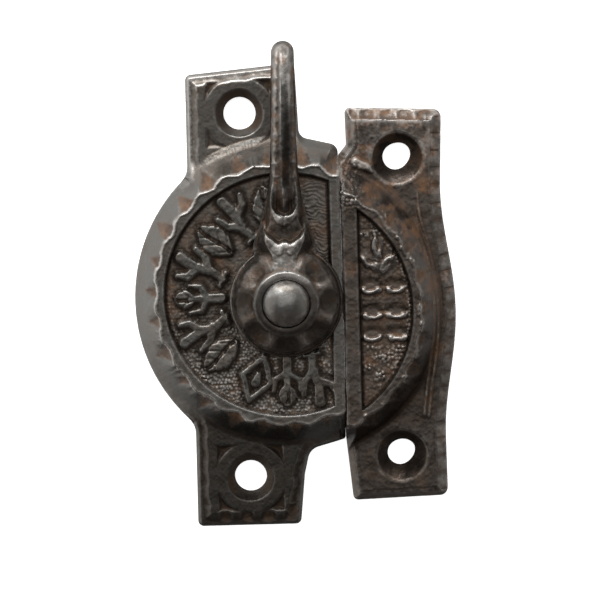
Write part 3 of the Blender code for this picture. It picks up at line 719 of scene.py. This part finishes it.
def keeper_top(x, y, d, along):
    boss, notch, r, beyond = boss_side(x, y, KEEPER_CENTRE, KEEPER_BOSS_RADIUS, 2.1, 0.0, 0.2, 7)
    right = smooth(21.0, 22.0, x) * smooth(27.4, 26.4, y) * smooth(-30.9, -30.2, y)
    from_top = 28.25 - 0.045 * (x - 9.6) - y
    upper = smooth(2.6, 1.8, from_top) * smooth(10.0, 10.6, x) * (1 - right)

    # The plate, with a row of scales along its bulging edge and its upper end.
    bevel = mix(1.0, 1.7, right)
    scales = scoops(along, 2.6, 1.45, 13) * ledge(d, 0.7, 1.15) * right
    prints = scoops(x, 2.9, 1.5, 15) * ledge(from_top, 1.0, 1.0) * upper
    plate = KEEPER_EAR_TOP
    inset = d - 0.9 * smooth(4.0, 14.0, y)
    lines = ledge(inset, 2.75, 0.33) + ledge(inset, 3.45, 0.33)
    lines = lines * smooth(-20.0, -18.0, y) * smooth(15.5, 14.5, y) * smooth(19.6, 20.4, x)
    for px, py in KEEPER_SCREWS:
        plate = plate + 0.12 * smooth(5.4, 4.2, np.hypot(x - px, y - py))
    bevel_z = mix(EDGE_HEIGHT, KEEPER_EAR_TOP, d / bevel)
    bevel_z = soft_min(bevel_z, mix(EDGE_HEIGHT, KEEPER_EAR_TOP, from_top / 1.9), 0.2)
    plate = soft_min(plate, bevel_z, 0.3) + 0.27 * scales - 0.28 * smooth(0.0, 0.9, prints)
    lug = smooth(-0.2, 0.5, stroke(x, y, (11.1, 19.9), (13.2, 18.9), 1.7, 1.3))
    foot = KEEPER_EAR_TOP + 1.1 * smooth(23.0, 21.2, r) ** 1.5
    plate = soft_max(plate, np.where(d > 1.7, foot, -9.0), 0.4)

    z = soft_max(plate, soft_min(boss, EDGE_HEIGHT + 3.0 * d, 0.5), 0.9) + 0.5 * lug
    z = z + 0.2 * lines * (0.75 + 0.6 * rough(x, y, 1.5, 67))
    dish = {"radius": 3.9, "drift": 0.3, "lip": 0.35}
    z, sunk_screw = countersunk(z, x, y, KEEPER_SCREWS, KEEPER_SCREW_RADIUS, KEEPER_EAR_TOP + 0.1, **dish)
    z = z - 0.2 * smooth(KEEPER_SEAM_X + 0.3, KEEPER_SEAM_X, x)

    within = np.minimum(KEEPER_RING_INSIDE - r, x - KEEPER_BAR_INSIDE)
    sunk = smooth(-0.15, 0.22, within)
    field, grain, plain, pads, lips, pad_shadows = keeper_field(x, y, r)
    z = mix(z, field, sunk)
    speckled = smooth(12.5, 14.5, y) * smooth(12.5, 11.0, x) * smooth(20.5, 19.0, y)
    z = z + 0.2 * speckled * pebbles(x, y, 0.55, 23, 0.8)
    crumbs = ledge(beyond, 0.2, 0.9) * smooth(0.1, 0.7, rough(x, y, 0.8, 71)) * (1 - sunk)
    z = z + 0.07 * rough(x, y, 1.4, 61) + 0.045 * rough(x, y, 0.45, 63) + 0.35 * crumbs
    outside = 1 - sunk
    shaded = smooth(2.0, -9.0, y)
    patches = smooth(-0.1, 0.35, rough(x, y, 2.0, 65)) * mix(0.25, 0.75, smooth(0.2, 0.8, beyond))
    rust = largest([
        0.75 * notch * outside,
        0.25 * smooth(0.3, 0.9, prints),
        0.9 * lines,
        sunk * (0.5 - 0.3 * pads - 0.3 * lips - 0.2 * grain),
        outside * (0.15 + patches) * (1 - 0.6 * shaded),
    ])
    # Rubbing on the lips, beads, scales, crumbs, lug and lines, with painted highlights on the pads' lips and
    # over the upper end's bevel and flat.
    wear_and_highlight = largest([
        sunk * np.maximum(0.5 * lips, 0.45 * grain * (1 - plain)),
        0.4 * speckled,
        0.5 * scales,
        0.3 * upper * smooth(2.2, 1.6, from_top),
        0.42 * smooth(17.0, 22.0, y) * (1 - sunk_screw),
        0.6 * ledge(from_top, 2.0, 0.35) * smooth(10.5, 11.5, x) * smooth(23.3, 22.6, x),
        0.5 * crumbs,
        0.6 * lug,
        0.7 * lines * smooth(0.2, 0.6, rough(x, y, 1.1, 101)),
    ])
    # Grime in the countersinks and along the lines, and painted shade: the ring's inner wall, a line above
    # each pad, the creases between the scales, and the slope's low half, darker towards the bottom.
    grime_and_shade = largest([
        0.8 * sunk_screw,
        0.8 * ledge(within, 0.1, 0.42),
        0.85 * pad_shadows * sunk,
        0.4 * lines,
        0.65 * right * smooth(0.3, 0.0, scales) * ledge(d, 1.2, 1.2),
        0.75 * smooth(-7.0, -14.0, y) * smooth(0.2, 1.2, beyond) * smooth(26.0, 22.5, r) * outside,
        0.2 * smooth(-20.0, -26.0, y),
        0.45 * smooth(0.0, 0.6, rough(x, y, 1.7, 87)) * outside,
        mix(0.1, 0.9, shaded) * outside * smooth(0.1, 0.6, beyond) * smooth(23.5, 22.0, r),
        0.45 * shaded * outside * smooth(0.1, 0.6, beyond) * smooth(-23.0, -17.0, y),
    ])
    return z, rust, wear_and_highlight, grime_and_shade


def keeper_under(x, y):
    r = np.hypot(x - KEEPER_CENTRE[0], y - KEEPER_CENTRE[1])
    pocket = ROOF_UNDERSIDE * ramp(POCKET_RADIUS, POCKET_ROOF_RADIUS, r)
    wall = x < KEEPER_WALL_X
    opening = wall & (np.abs(y) <= KEEPER_MOUTH)
    z = np.where(wall, np.where(opening, ROOF_UNDERSIDE, 0.0), pocket)
    return np.where((np.abs(y) < LUG_HALF_WIDTH) & (x < LUG_BACK_X), LUG_UNDERSIDE, z)


# Heights along Y, and half widths of the raised middle of the neck and arm.
LEVER_UNDERSIDE = (
    (3.0, 9.9), (12.0, 10.3), (16.0, 11.2), (19.0, 12.9), (22.5, 16.0), (26.0, 19.4),
    (29.0, 21.6), (31.5, 22.6), (33.7, 22.4), (35.5, 21.2), (36.8, 19.4), (38.5, 17.6),
)
LEVER_CREST = (
    (0.0, 15.3), (4.6, 15.1), (6.9, 14.4), (9.0, 13.7), (12.0, 13.2), (15.5, 13.6),
    (18.5, 15.1), (21.5, 17.7), (25.0, 21.1), (28.0, 23.3), (30.9, 24.6), (33.2, 24.8),
    (35.3, 24.0), (37.2, 22.4), (38.1, 20.8), (38.5, 19.8),
)
LEVER_RAISED = (
    (0.0, 1.8), (5.0, 1.7), (6.9, 1.8), (9.1, 2.9), (12.0, 2.1),
    (15.5, 1.9), (19.0, 1.7), (24.0, 1.6), (38.5, 1.5),
)
# Each sheath's valleys along Y, the slope of its horns, their reach across, its drop and its middle point.
SHEATHS = ((7.45, 0.95, 2.9, 0.9, 1.35), (11.9, 1.05, 1.65, 0.65, 0.5))
FLUTES = 8


def curve_through(points, y):
    """Heights read from a smooth line through points, by cubic pieces with slopes from the neighbours."""
    at, height = np.array(points).T
    slope = np.gradient(height, at)
    index = np.clip(np.searchsorted(at, y) - 1, 0, len(at) - 2)
    width = at[index + 1] - at[index]
    t = np.clip((y - at[index]) / width, 0.0, 1.0)
    rise = (2 * t**3 - 3 * t**2 + 1) * height[index] + (3 * t**2 - 2 * t**3) * height[index + 1]
    lean = (t**3 - 2 * t**2 + t) * slope[index] + (t**3 - t**2) * slope[index + 1]
    return rise + width * lean


def lever_hub(x, y, r):
    """A dome of shallow flutes above a thin flange, with a plain ring round the spindle's head.

    Returns its height, each point's place across its flute, and how deep in the flute's cup it is.
    """
    out = ramp(RING_RADIUS, HUB_RADIUS - 0.5, r)
    dome = mix(HUB_FLANGE, RING_TOP - 0.5, np.sqrt(np.clip(1 - out**2, 0.0, 1.0)))
    place = (np.arctan2(x, y) / (2 * math.pi) * FLUTES + 0.5) % 1.0 * 2 - 1
    fold = np.abs(place) ** 2.2
    cup = np.clip(1 - np.hypot(place * 1.12, (r - 6.35) / 1.75) ** 2, 0.0, 1.0)
    flute = 0.4 * (1 - fold) * np.sin(math.pi * np.clip(out * 1.08, 0, 1)) ** 0.8
    hub = dome - flute - 0.6 * cup**0.8 * mix(0.3, 1.0, smooth(4.0, 0.5, y))
    hub = np.maximum(hub, 10.75 - 0.8 * smooth(HUB_RADIUS - 0.35, HUB_RADIUS, r))
    ring_place = np.abs(r - RING_MIDDLE)
    ring = RING_TOP - 0.12 * ring_place - 1.8 * np.clip(ring_place - 0.4, 0, 9) ** 1.6
    return np.maximum(hub, np.where(ring_place < 1.2, ring, 0.0)), place, cup


def lever_arm(x, y, d):
    """The neck and the arm: height, distance from the middle line, the stem on the hub, and the marks of
    rust, of wear with painted highlights, and of grime with painted shade.
    """
    offset = x - LEVER_LEAN * np.maximum(y - HUB_RADIUS, 0.0)
    across = np.abs(offset)
    crest = curve_through(LEVER_CREST, y)
    raised = curve_through(LEVER_RAISED, y)
    arm = smooth(15.5, 18.0, y)
    roof = crest - 0.3 * (across / raised) ** 2 - 1.5 * np.clip(across - raised, 0, 9)
    roof = roof - 0.35 * arm * across**2 / 2
    rib = smooth(0.95, 0.5, np.abs(offset - 0.3)) * arm * smooth(37.5, 35.5, y)
    prints = scoops(y + 0.4 * rough(x, y, 1.5, 77), 2.05, 0.9, 23)
    flank = (ledge(offset, -1.2, 0.75) + ledge(offset, 1.45, 0.4)) * arm * smooth(36.0, 34.0, y)
    roof = roof + 0.3 * rib - 0.34 * prints * flank
    rust = np.maximum(0.8 * prints * flank, 0.35 * arm * (1 - rib))
    tip = smooth(33.4, 34.6, y + 0.5 * rough(x, y, 1.2, 78))
    # Painted highlights along the rib's crest and over the tip, and rubbing on the left flank.
    wear_and_highlight = largest([
        0.85 * rib * smooth(25.5, 29.0, y) * (1 - tip) * (0.6 + 0.8 * rough(x, y, 0.8, 79)),
        0.42 * tip * smooth(-0.5, 0.2, rough(x, y, 0.7, 80)),
        0.3 * ledge(offset, -1.1, 0.9) * arm * (1 - tip) * smooth(-0.3, 0.3, rough(x, y, 1.3, 82)),
    ])
    # Painted shade along the arm's right side, which faces away from the light, and a little over its tip.
    low_arm = smooth(27.0, 19.0, y)
    shade_band = smooth(mix(0.8, 1.15, low_arm), 0.3, np.abs(offset - mix(0.75, 0.35, low_arm)))
    grime_and_shade = np.maximum(0.8 * shade_band * arm * smooth(31.0, 27.5, y), 0.15 * tip)

    # Sheaths that end in a V with raised lips carrying painted highlights, each with the next one coming out
    # of it, and painted shade in the valley beyond each lip.
    for vertex, slope, reach, drop, point in SHEATHS:
        past = y - vertex - slope * across - point * np.exp(-((across / 0.65) ** 2))
        past = past + 0.25 * rough(x, y, 1.2, 75)
        side = smooth(reach + 0.5, reach - 0.3, across)
        roof = roof - drop * smooth(-0.1, 0.6, past) * smooth(4.2, 1.0, past) * side
        lip = ledge(past, -0.6, 1.0) * side
        roof = roof + 0.36 * lip
        wear_and_highlight = np.maximum(wear_and_highlight, 0.6 * lip * smooth(-0.6, 0.4, rough(x, y, 1.0, 81)))
        rust = np.maximum(rust, 0.25 * smooth(0.3, 1.0, past) * smooth(4.2, 2.0, past) * side)
        grime_and_shade = np.maximum(grime_and_shade, 0.75 * ledge(past, 1.3, 1.4) * side)
    vein = ledge(across, 0.0, 0.35) * smooth(12.8, 13.8, y) * smooth(17.6, 16.2, y)
    groove = ledge(across, 0.85, 0.4) * smooth(12.8, 13.8, y) * smooth(18.0, 15.8, y)
    roof = roof + 0.35 * vein - 0.35 * groove
    rust = np.maximum(rust, 0.8 * groove)
    flare = 0.35 * np.abs(y - 6.2)
    stem = smooth(2.1 + flare, 0.9 + flare, across) * smooth(3.9, 4.6, y) * smooth(8.0, 7.0, y)
    roof = roof + 0.2 * stem
    wear_and_highlight = np.maximum(wear_and_highlight, 0.22 * stem)
    roof = roof - 1.3 * smooth(0.8, 0.0, d) ** 1.5
    return roof, across, stem, rust, wear_and_highlight, grime_and_shade


def lever_top(x, y, d, _along):
    r = np.hypot(x, y)
    hub, place, cup = lever_hub(x, y, r)
    roof, across, stem, rust, wear_and_highlight, grime_and_shade = lever_arm(x, y, d)
    # A painted highlight on the ring's upper part.
    wear_and_highlight = np.maximum(wear_and_highlight, 0.6 * ledge(r, RING_MIDDLE, 0.7) * smooth(2.4, 3.6, y))

    z = soft_max(hub, roof - 5.0 * smooth(4.6, 3.6, y) - 99 * (y < 2.0), 0.5)
    z = np.where(r < RING_INNER, HEAD_SEAT, z)
    z = soft_min(z, 10.4 + 2.6 * d + 99 * (y > 7.5), 0.3)
    lumps = 0.2 * rough(x, y, 2.4, 83) * smooth(1.0, 2.2, np.maximum(across, 9 - y)) * smooth(5.0, 5.6, r)
    z = z + (0.06 * rough(x, y, 1.1, 71) + 0.03 * rough(x, y, 0.3, 73)) * (r > RING_RADIUS) + lumps
    z = z + 0.16 * rough(x, y, 0.8, 103) * smooth(10.0, 12.0, y) * smooth(34.0, 26.0, y)
    on_hub = smooth(RING_RADIUS, 5.3, r) * smooth(HUB_RADIUS - 0.4, HUB_RADIUS - 0.8, r)
    on_hub = on_hub * (1 - stem) * (y < 8.2)
    edge = ledge(np.abs(place), 0.9, 0.3) * on_hub
    rust = largest([
        rust,
        0.5 * edge,
        0.6 * smooth(-0.1, 0.5, rough(x, y, 2.2, 85)) * (r > 5.2) * (1 - stem),
    ])
    shade = 0.4 + 0.5 * smooth(2.5, -2.5, y + 0.5 * x) + 0.3 * rough(x, y, 2.0, 93)
    ring_shade = 0.2 + 0.35 * smooth(4.0, 1.0, y) + 0.3 * smooth(1.5, -3.0, y)
    # Painted shade over the hub, darker on its low side and its left, in the flutes' cups, round the ring and
    # at its inner edge, on the flange's lower left and on the neck's flanks.
    grime_and_shade = largest([
        grime_and_shade,
        on_hub * shade * (1 - 0.3 * edge),
        ring_shade * smooth(5.0, 4.6, r) * (1 - stem),
        0.6 * on_hub * smooth(-1.0, -4.5, x) * smooth(6.0, 3.0, y),
        on_hub * smooth(0.0, 0.5, cup) * (0.85 + 0.3 * rough(x, y, 1.6, 97)),
        0.3 * smooth(RING_INNER + 0.1, RING_INNER, r),
        0.75 * smooth(HUB_RADIUS - 1.0, HUB_RADIUS - 0.6, r) * smooth(-4.5, 0.5, x - 0.6 * y) * (y < 6.0),
        0.5 * smooth(1.2, 2.4, across) * smooth(4.5, 6.0, y) * smooth(19.0, 14.0, y),
    ])
    return z, rust, wear_and_highlight, grime_and_shade


def lever_under(x, y):
    r = np.hypot(x, y)
    arm = curve_through(LEVER_UNDERSIDE, np.maximum(y, 3.0))
    return np.where(r < HUB_RADIUS - 0.3, HUB_BOTTOM, np.maximum(arm, HUB_BOTTOM))


def square_loop(half, pitch):
    return resampled(np.array([(-half, -half), (half, -half), (half, half), (-half, half)]), pitch)


def worn_hole(centre, radius):
    """A hole's outline, a little longer towards one corner."""
    angles = np.linspace(0.0, 2 * math.pi, 64, endpoint=False)
    reach = radius * (1 + 0.055 * np.cos(2 * angles - 1.2) + 0.02 * np.sin(3 * angles))
    return np.column_stack([centre[0] + reach * np.cos(angles), centre[1] + reach * np.sin(angles)])


def beside(*lines, away=0.03, pitch=0.4):
    """Two rows of points for each straight step (x, y, x, y) in an underside, one on each side of it."""
    rows = []
    for line in lines:
        start, run = np.array(line[:2]), np.array(line[2:]) - line[:2]
        length = np.hypot(*run)
        shares = np.linspace(0.03, 0.97, max(2, int(length / pitch)))[:, None]
        side = np.array([-run[1], run[0]]) / length * away
        rows += [start + shares * run + side, start + shares * run - side]
    return rows


def make_case():
    holes = [circle(place, CASE_SCREW_RADIUS, 0.2) for place in CASE_SCREWS]
    holes.append(circle((0.0, 0.0), BEARING_RADIUS, 0.3))
    radii = [RING_INSIDE + step for step in (-0.19, -0.05, 0.1)]
    guides = arcs(radii, 70.5, 289.5, 480, BOSS_CENTRE)
    under = arcs((CHAMBER_ROOF_RADIUS, CHAMBER_RADIUS - 0.02), 71.5, 288.5, 160, BOSS_CENTRE)
    under += [circle((0.0, 0.0), COLLAR_RADIUS + step, 0.4) for step in (-0.03, 0.03)]
    for end in (-SIDE_OPENING, SIDE_OPENING):
        wall_end = math.copysign(20.0, end)
        under += beside((BAR_INSIDE, end, SEAM_X, end), (BAR_INSIDE, end, BAR_INSIDE, wall_end))
    return casting("case_relief", case_outline(), SEAM_X, holes, case_top, case_under, guides, under)


def make_keeper():
    holes = [worn_hole(place, KEEPER_HOLE_RADIUS) for place in KEEPER_SCREWS]
    radii = [KEEPER_RING_INSIDE + step for step in (-0.19, -0.04, 0.1)]
    guides = arcs(radii, -54.0, 54.0, 230, KEEPER_CENTRE)
    under = arcs((POCKET_ROOF_RADIUS, POCKET_RADIUS - 0.02), -52.0, 52.0, 90, KEEPER_CENTRE)
    under += beside(
        (LUG_BACK_X, -LUG_HALF_WIDTH, LUG_BACK_X, LUG_HALF_WIDTH),
        (KEEPER_WALL_X, KEEPER_MOUTH, KEEPER_WALL_X, 15.2),
        (KEEPER_WALL_X, -KEEPER_MOUTH, KEEPER_WALL_X, -18.9),
    )
    for side in (-1, 1):
        end, flank = side * KEEPER_MOUTH, side * LUG_HALF_WIDTH
        under += beside((KEEPER_SEAM_X, end, KEEPER_WALL_X, end), (KEEPER_SEAM_X, flank, LUG_BACK_X, flank))
    outline = keeper_outline()
    return casting("keeper_relief", outline, KEEPER_SEAM_X, holes, keeper_top, keeper_under, guides, under)


def make_lever():
    holes = [square_loop(2.25, 0.3)]
    guides = [circle((0.0, 0.0), RING_INNER + step, 0.14) for step in (-0.03, 0.03)]
    under = [circle((0.0, 0.0), HUB_RADIUS - 0.32, 0.4)]
    return casting("lever_casting", lever_outline(), None, holes, lever_top, lever_under, guides, under, 6)


# The spindle below its head, downwards: its half width, the height, and whether it is square there.
SPINDLE_SECTIONS = (
    (HEAD_RADIUS - 0.15, HEAD_BASE, False), (2.0, HEAD_BASE, True), (2.0, 9.76, True),
    (2.9, 9.75, False), (2.9, 6.4, False), (2.0, 6.39, True),
    (2.0, 1.01, True), (3.3, 1.0, False), (2.6, 0.4, False),
)


def make_spindle():
    """The whole spindle as one turned form, whose sections go from round to square and back."""
    segments = 96
    angles = np.arange(segments) / segments * 2 * math.pi
    squared = 1 / np.maximum(np.abs(np.cos(angles)), np.abs(np.sin(angles)))
    rows = [(HEAD_RADIUS * math.sin(a), mix(HEAD_BASE, HEAD_TOP, math.cos(a)), False)
            for a in np.radians(np.arange(3, 91, 3))]
    rows += SPINDLE_SECTIONS
    points = [np.array([[0.0, 0.0, HEAD_TOP]])]
    for radius, z, square in rows:
        reach = radius * (squared if square else 1.0) * np.ones(segments)
        ring = [reach * np.cos(angles), reach * np.sin(angles), np.full(segments, z)]
        points.append(np.column_stack(ring))
    points.append(np.array([[0.0, 0.0, SPINDLE_SECTIONS[-1][1]]]))
    here = np.arange(segments)
    there = np.roll(here, -1)
    faces = [np.column_stack([0 * here, here + 1, there + 1])]
    for row in range(len(rows) - 1):
        a, b = 1 + row * segments, 1 + (row + 1) * segments
        faces.append(np.column_stack([here + a, here + b, there + b]))
        faces.append(np.column_stack([here + a, there + b, there + a]))
    last = 1 + (len(rows) - 1) * segments
    faces.append(np.column_stack([here + last, 0 * here + last + segments, there + last]))
    places = np.concatenate(points)
    x, y, z = places.T
    # A painted highlight on the head's crown, and painted shade and rust on its low side.
    crown_highlight = smooth(2.3, 0.4, np.hypot(x + 0.3, (y - 0.9) * 1.3) + 0.5 * rough(x, y, 0.9, 99)) * (z > 16.0)
    low_side = smooth(0.3, -2.4, y) * (z > 15.7)
    shades = {"rust": 0.55 * low_side, "wear_and_highlight": 0.5 * crown_highlight, "grime_and_shade": 0.4 * low_side}
    return mesh_piece("spindle_turned", places, np.concatenate(faces), shades)


# ---- Materials ----


def wire(tree, item, inputs):
    """Sets or links a node's inputs, where a tuple is a colour."""
    for key, value in inputs.items():
        if isinstance(value, bpy.types.NodeSocket):
            tree.links.new(value, item.inputs[key])
        else:
            item.inputs[key].default_value = (*value, 1.0) if isinstance(value, tuple) else value


def node(tree, kind, inputs, **settings):
    item = tree.nodes.new("ShaderNode" + kind)
    for key, value in settings.items():
        setattr(item, key, value)
    wire(tree, item, inputs)
    return item


def tinted(colour, *shares):
    return tuple(channel * share for channel, share in zip(colour, shares))


def iron(name, bare, rusted, bright, amount):
    """Waxed bare iron: brown in the hollows, rubbed bright on the edges, finely pitted all over, with painted
    highlights and painted shade where its marks and hollows carry them.

    Its colours are those of the bare, rusted and rubbed metal, the rubbed one also standing for painted
    highlights, and the amount is of rust.
    """
    made = bpy.data.materials.new(name)
    made.use_nodes = True
    tree = made.node_tree
    where = node(tree, "TexCoord", {}).outputs["Object"]

    def noise(scale, detail):
        inputs = {"Scale": scale, "Detail": detail, "Vector": where}
        return node(tree, "TexNoise", inputs).outputs["Fac"]

    def maths(operation, *values, clamp=False):
        inputs = dict(enumerate(values))
        return node(tree, "Math", inputs, operation=operation, use_clamp=clamp).outputs[0]

    def varied(value, texture, swing, clamp=False):
        return maths("MULTIPLY_ADD", maths("SUBTRACT", texture, 0.5), swing, value, clamp=clamp)

    def blend(a, b, share):
        inputs = {"Factor": share, "A": a, "B": b}
        return node(tree, "Mix", inputs, data_type="RGBA").outputs["Result"]

    blotch, patches = noise(260.0, 4.0), noise(430.0, 5.0)
    grain, speck = noise(2600.0, 3.0), noise(900.0, 5.0)
    marks = {label: node(tree, "Attribute", {}, attribute_name=label).outputs["Fac"]
             for label in ("rust", "wear_and_highlight", "grime_and_shade", "bulge")}

    # Rust gathers where the relief is marked or hollow, in patches.
    rust = maths("MAXIMUM", marks["rust"], maths("MULTIPLY", marks["bulge"], -0.6))
    rust = varied(varied(rust, blotch, 1.3), speck, 0.8)
    rust = maths("MULTIPLY", maths("SUBTRACT", rust, 0.2), 1.5 * amount, clamp=True)

    # Rubbed bright where worn, and painted highlights where the wear mark and the ridges carry them.
    worn_and_highlit = maths("MULTIPLY_ADD", marks["wear_and_highlight"], 0.8, maths("MULTIPLY", marks["bulge"], 0.4))
    worn_and_highlit = maths("MULTIPLY", maths("SUBTRACT", varied(worn_and_highlit, speck, 0.9), 0.22), 1.3, clamp=True)

    # Painted shade in the hollows and where the grime mark carries it, together with real grime.
    hollow = maths("MINIMUM", marks["bulge"], 0.0)
    grime_and_shade = maths("MULTIPLY_ADD", hollow, -0.35, varied(marks["grime_and_shade"], blotch, 0.5), clamp=True)

    warm, cool = tinted(bare, 0.92, 0.8, 0.7), tinted(bare, 1.12, 1.2, 1.2)
    tone = blend(warm, cool, varied(speck, blotch, 2.0, clamp=True))
    ochre, dark_rust = tinted(rusted, 1.45, 1.15, 0.85), tinted(rusted, 0.75, 0.78, 0.85)
    rust_tone = blend(dark_rust, ochre, varied(0.4, patches, 3.0, clamp=True))
    colour = blend(blend(tone, rust_tone, rust), bright, worn_and_highlit)
    # Painted shade and grime darken the colour here, and lower the specular level below.
    colour = blend(colour, tinted(rusted, 0.16, 0.16, 0.16), maths("MULTIPLY", grime_and_shade, 0.85))
    roughness = maths("MULTIPLY_ADD", rust, 0.2, maths("MULTIPLY_ADD", worn_and_highlit, -0.1, 0.33))
    height = maths("MULTIPLY_ADD", speck, 0.7, grain)
    bump = node(tree, "Bump", {"Strength": 0.5, "Distance": 0.00006, "Height": height})
    wire(tree, tree.nodes["Principled BSDF"], {
        "Base Color": colour,
        "Metallic": maths("MULTIPLY_ADD", rust, -0.4, 0.92),
        "Roughness": varied(roughness, grain, 0.25),
        "Specular IOR Level": maths("MULTIPLY_ADD", grime_and_shade, -0.38, 0.5),
        "Normal": bump.outputs["Normal"],
    })
    return made


def dress(obj, look):
    obj.data.materials.clear()
    obj.data.materials.append(look)


# ---- Stage ----


def make_floor():
    bpy.ops.mesh.primitive_plane_add(size=4.0, location=(0.0, 0.0, 0.0))
    floor = bpy.context.object
    floor.name = "floor"
    look = bpy.data.materials.new("floor")
    look.use_nodes = True
    wire(look.node_tree, look.node_tree.nodes["Principled BSDF"], {
        "Base Color": (0.93, 0.93, 0.93),
        "Roughness": 0.9,
        "Specular IOR Level": 0.1,
        "Emission Color": (1.0, 1.0, 1.0),
        "Emission Strength": 0.7,
    })
    dress(floor, look)
    floor.visible_glossy = False


# Each soft patch of light: its direction, the cosines where it starts and is full, and its strength.
WORLD_LIGHTS = (
    ((0.0, 0.0, 1.0), -1.2, -0.8, 0.04),
    ((0.0, 0.35, 1.0), 0.7, 1.0, 0.58),
    ((-0.12, 1.0, 0.0), 0.3, 0.95, 1.25),
    ((-1.0, 0.15, -0.15), 0.3, 0.95, 1.0),
    ((1.0, 0.1, -0.1), 0.35, 0.95, 0.45),
    ((0.0, -1.0, 0.1), 0.4, 0.95, 0.12),
)


def make_world():
    """A soft studio: bright beyond the lock's top and left, dimmer overhead and right, dark at the bottom."""
    world = bpy.data.worlds.new("studio")
    bpy.context.scene.world = world
    world.use_nodes = True
    tree = world.node_tree
    where = node(tree, "TexCoord", {}).outputs["Generated"]
    total = 0.0
    for direction, low, high, strength in WORLD_LIGHTS:
        ends = {0: where, 1: Vector(direction).normalized()}
        dot = node(tree, "VectorMath", ends, operation="DOT_PRODUCT").outputs["Value"]
        reach = {"Value": dot, "From Min": low, "From Max": high, "To Max": strength}
        part = node(tree, "MapRange", reach, interpolation_type="SMOOTHSTEP").outputs["Result"]
        total = node(tree, "Math", {0: total, 1: part}, operation="ADD").outputs[0]
    wire(tree, tree.nodes["Background"], {"Strength": total, "Color": (1.0, 0.985, 0.965)})


def area_light(name, position, target, size, power):
    data = bpy.data.lights.new(name, "AREA")
    data.shape = "RECTANGLE"
    data.size, data.size_y = size
    data.energy = power
    obj = placed(name, data)
    obj.location = position
    obj.rotation_euler = (Vector(target) - Vector(position)).to_track_quat("-Z", "Y").to_euler()
    return obj


def make_lights():
    area_light("overhead", (0.0, 0.12, 0.62), (0.0, 0.0, 0.0), (0.9, 0.9), 3.0).visible_glossy = False
    area_light("window", (-0.08, 0.42, 0.16), (0.0, 0.0, 0.0), (0.5, 0.22), 1.5)


def make_camera():
    """Almost straight down, from a little towards the lever's end, with the lock turned slightly."""
    distance, lean, roll = 0.35, math.radians(5.0), math.radians(1.7)
    target = Vector(((AXIS[0] + VIEW_CENTRE[0]) * MM, (AXIS[1] + VIEW_CENTRE[1]) * MM, 0.0))
    position = target + Vector((0.0, math.sin(lean), math.cos(lean))) * distance
    data = bpy.data.cameras.new("camera")
    data.sensor_width = 36.0
    data.lens = data.sensor_width * distance / (VIEW_WIDTH * MM)
    data.clip_start = 0.01
    camera = placed("camera", data)
    back = (position - target).normalized()
    up = Vector((math.sin(roll), math.cos(roll), 0.0))
    right = up.cross(back).normalized()
    up = back.cross(right)
    camera.matrix_world = Matrix.Translation(position) @ Matrix((right, up, back)).transposed().to_4x4()
    bpy.context.scene.camera = camera


# ---- Assembly ----


def rounded_copy(node, name, width):
    """A copy of a CAD piece whose sharp edges are rounded."""
    source = frame["nodes"][node]
    obj = placed(name, source.data.copy())
    obj.matrix_world = source.matrix_world.copy()
    bevel = obj.modifiers.new("rounding", "BEVEL")
    bevel.width = width * MM
    bevel.segments = 3
    bevel.limit_method = "ANGLE"
    bevel.angle_limit = math.radians(40)
    bpy.context.view_layer.update()
    data = bpy.data.meshes.new_from_object(obj.evaluated_get(bpy.context.evaluated_depsgraph_get()))
    obj.modifiers.clear()
    obj.data = data
    data.shade_smooth()
    data.set_sharp_from_angle(angle=math.radians(30))
    return obj


# Each slot's colours when bare, rusted and rubbed bright, the last also standing for painted highlights, and
# its share of rust.
LOOKS = {
    "case_iron": ((0.15, 0.142, 0.135), (0.115, 0.078, 0.054), (0.42, 0.4, 0.38), 1.0),
    "keeper_iron": ((0.12, 0.103, 0.094), (0.115, 0.077, 0.053), (0.34, 0.32, 0.3), 1.2),
    "lever_iron": ((0.15, 0.143, 0.138), (0.125, 0.078, 0.05), (0.46, 0.44, 0.42), 1.0),
    "spindle_steel": ((0.17, 0.165, 0.16), (0.12, 0.08, 0.06), (0.5, 0.49, 0.48), 0.6),
    "cam_iron": ((0.12, 0.112, 0.106), (0.1, 0.06, 0.04), (0.4, 0.38, 0.36), 1.1),
    "washer_steel": ((0.22, 0.21, 0.2), (0.14, 0.09, 0.06), (0.5, 0.48, 0.46), 0.7),
    "spring_steel": ((0.1, 0.115, 0.15), (0.1, 0.065, 0.05), (0.3, 0.32, 0.37), 0.5),
    "pin_steel": ((0.24, 0.23, 0.22), (0.14, 0.09, 0.06), (0.5, 0.48, 0.46), 0.7),
}


def main():
    bpy.context.scene.view_settings.view_transform = "Standard"
    looks = {slot: iron(slot, *colours) for slot, colours in LOOKS.items()}
    # Each piece, its body, the CAD piece that it replaces and its material slot.
    pieces = (
        (make_case(), "case", "case_casting", "case_iron"),
        (make_keeper(), "keeper", "keeper_casting", "keeper_iron"),
        (make_lever(), "lever", "lever", "lever_iron"),
        (make_spindle(), "lever", "pivot_spindle", "spindle_steel"),
        (rounded_copy("locking_cam", "cam_casting", 0.3), "lever", "locking_cam", "cam_iron"),
        (rounded_copy("cam_washer", "washer", 0.12), "lever", "cam_washer", "washer_steel"),
        (rounded_copy("detent_spring", "leaf_spring", 0.08), "case", "detent_spring", "spring_steel"),
        (rounded_copy("spring_pin_upper", "upper_pin", 0.15), "case", "spring_pin_upper", "pin_steel"),
        (rounded_copy("spring_pin_lower", "lower_pin", 0.15), "case", "spring_pin_lower", "pin_steel"),
    )
    for piece, body, node, slot in pieces:
        dress(piece, looks[slot])
        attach(piece, body)
        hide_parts(node)

    make_floor()
    make_world()
    make_lights()
    make_camera()


main()
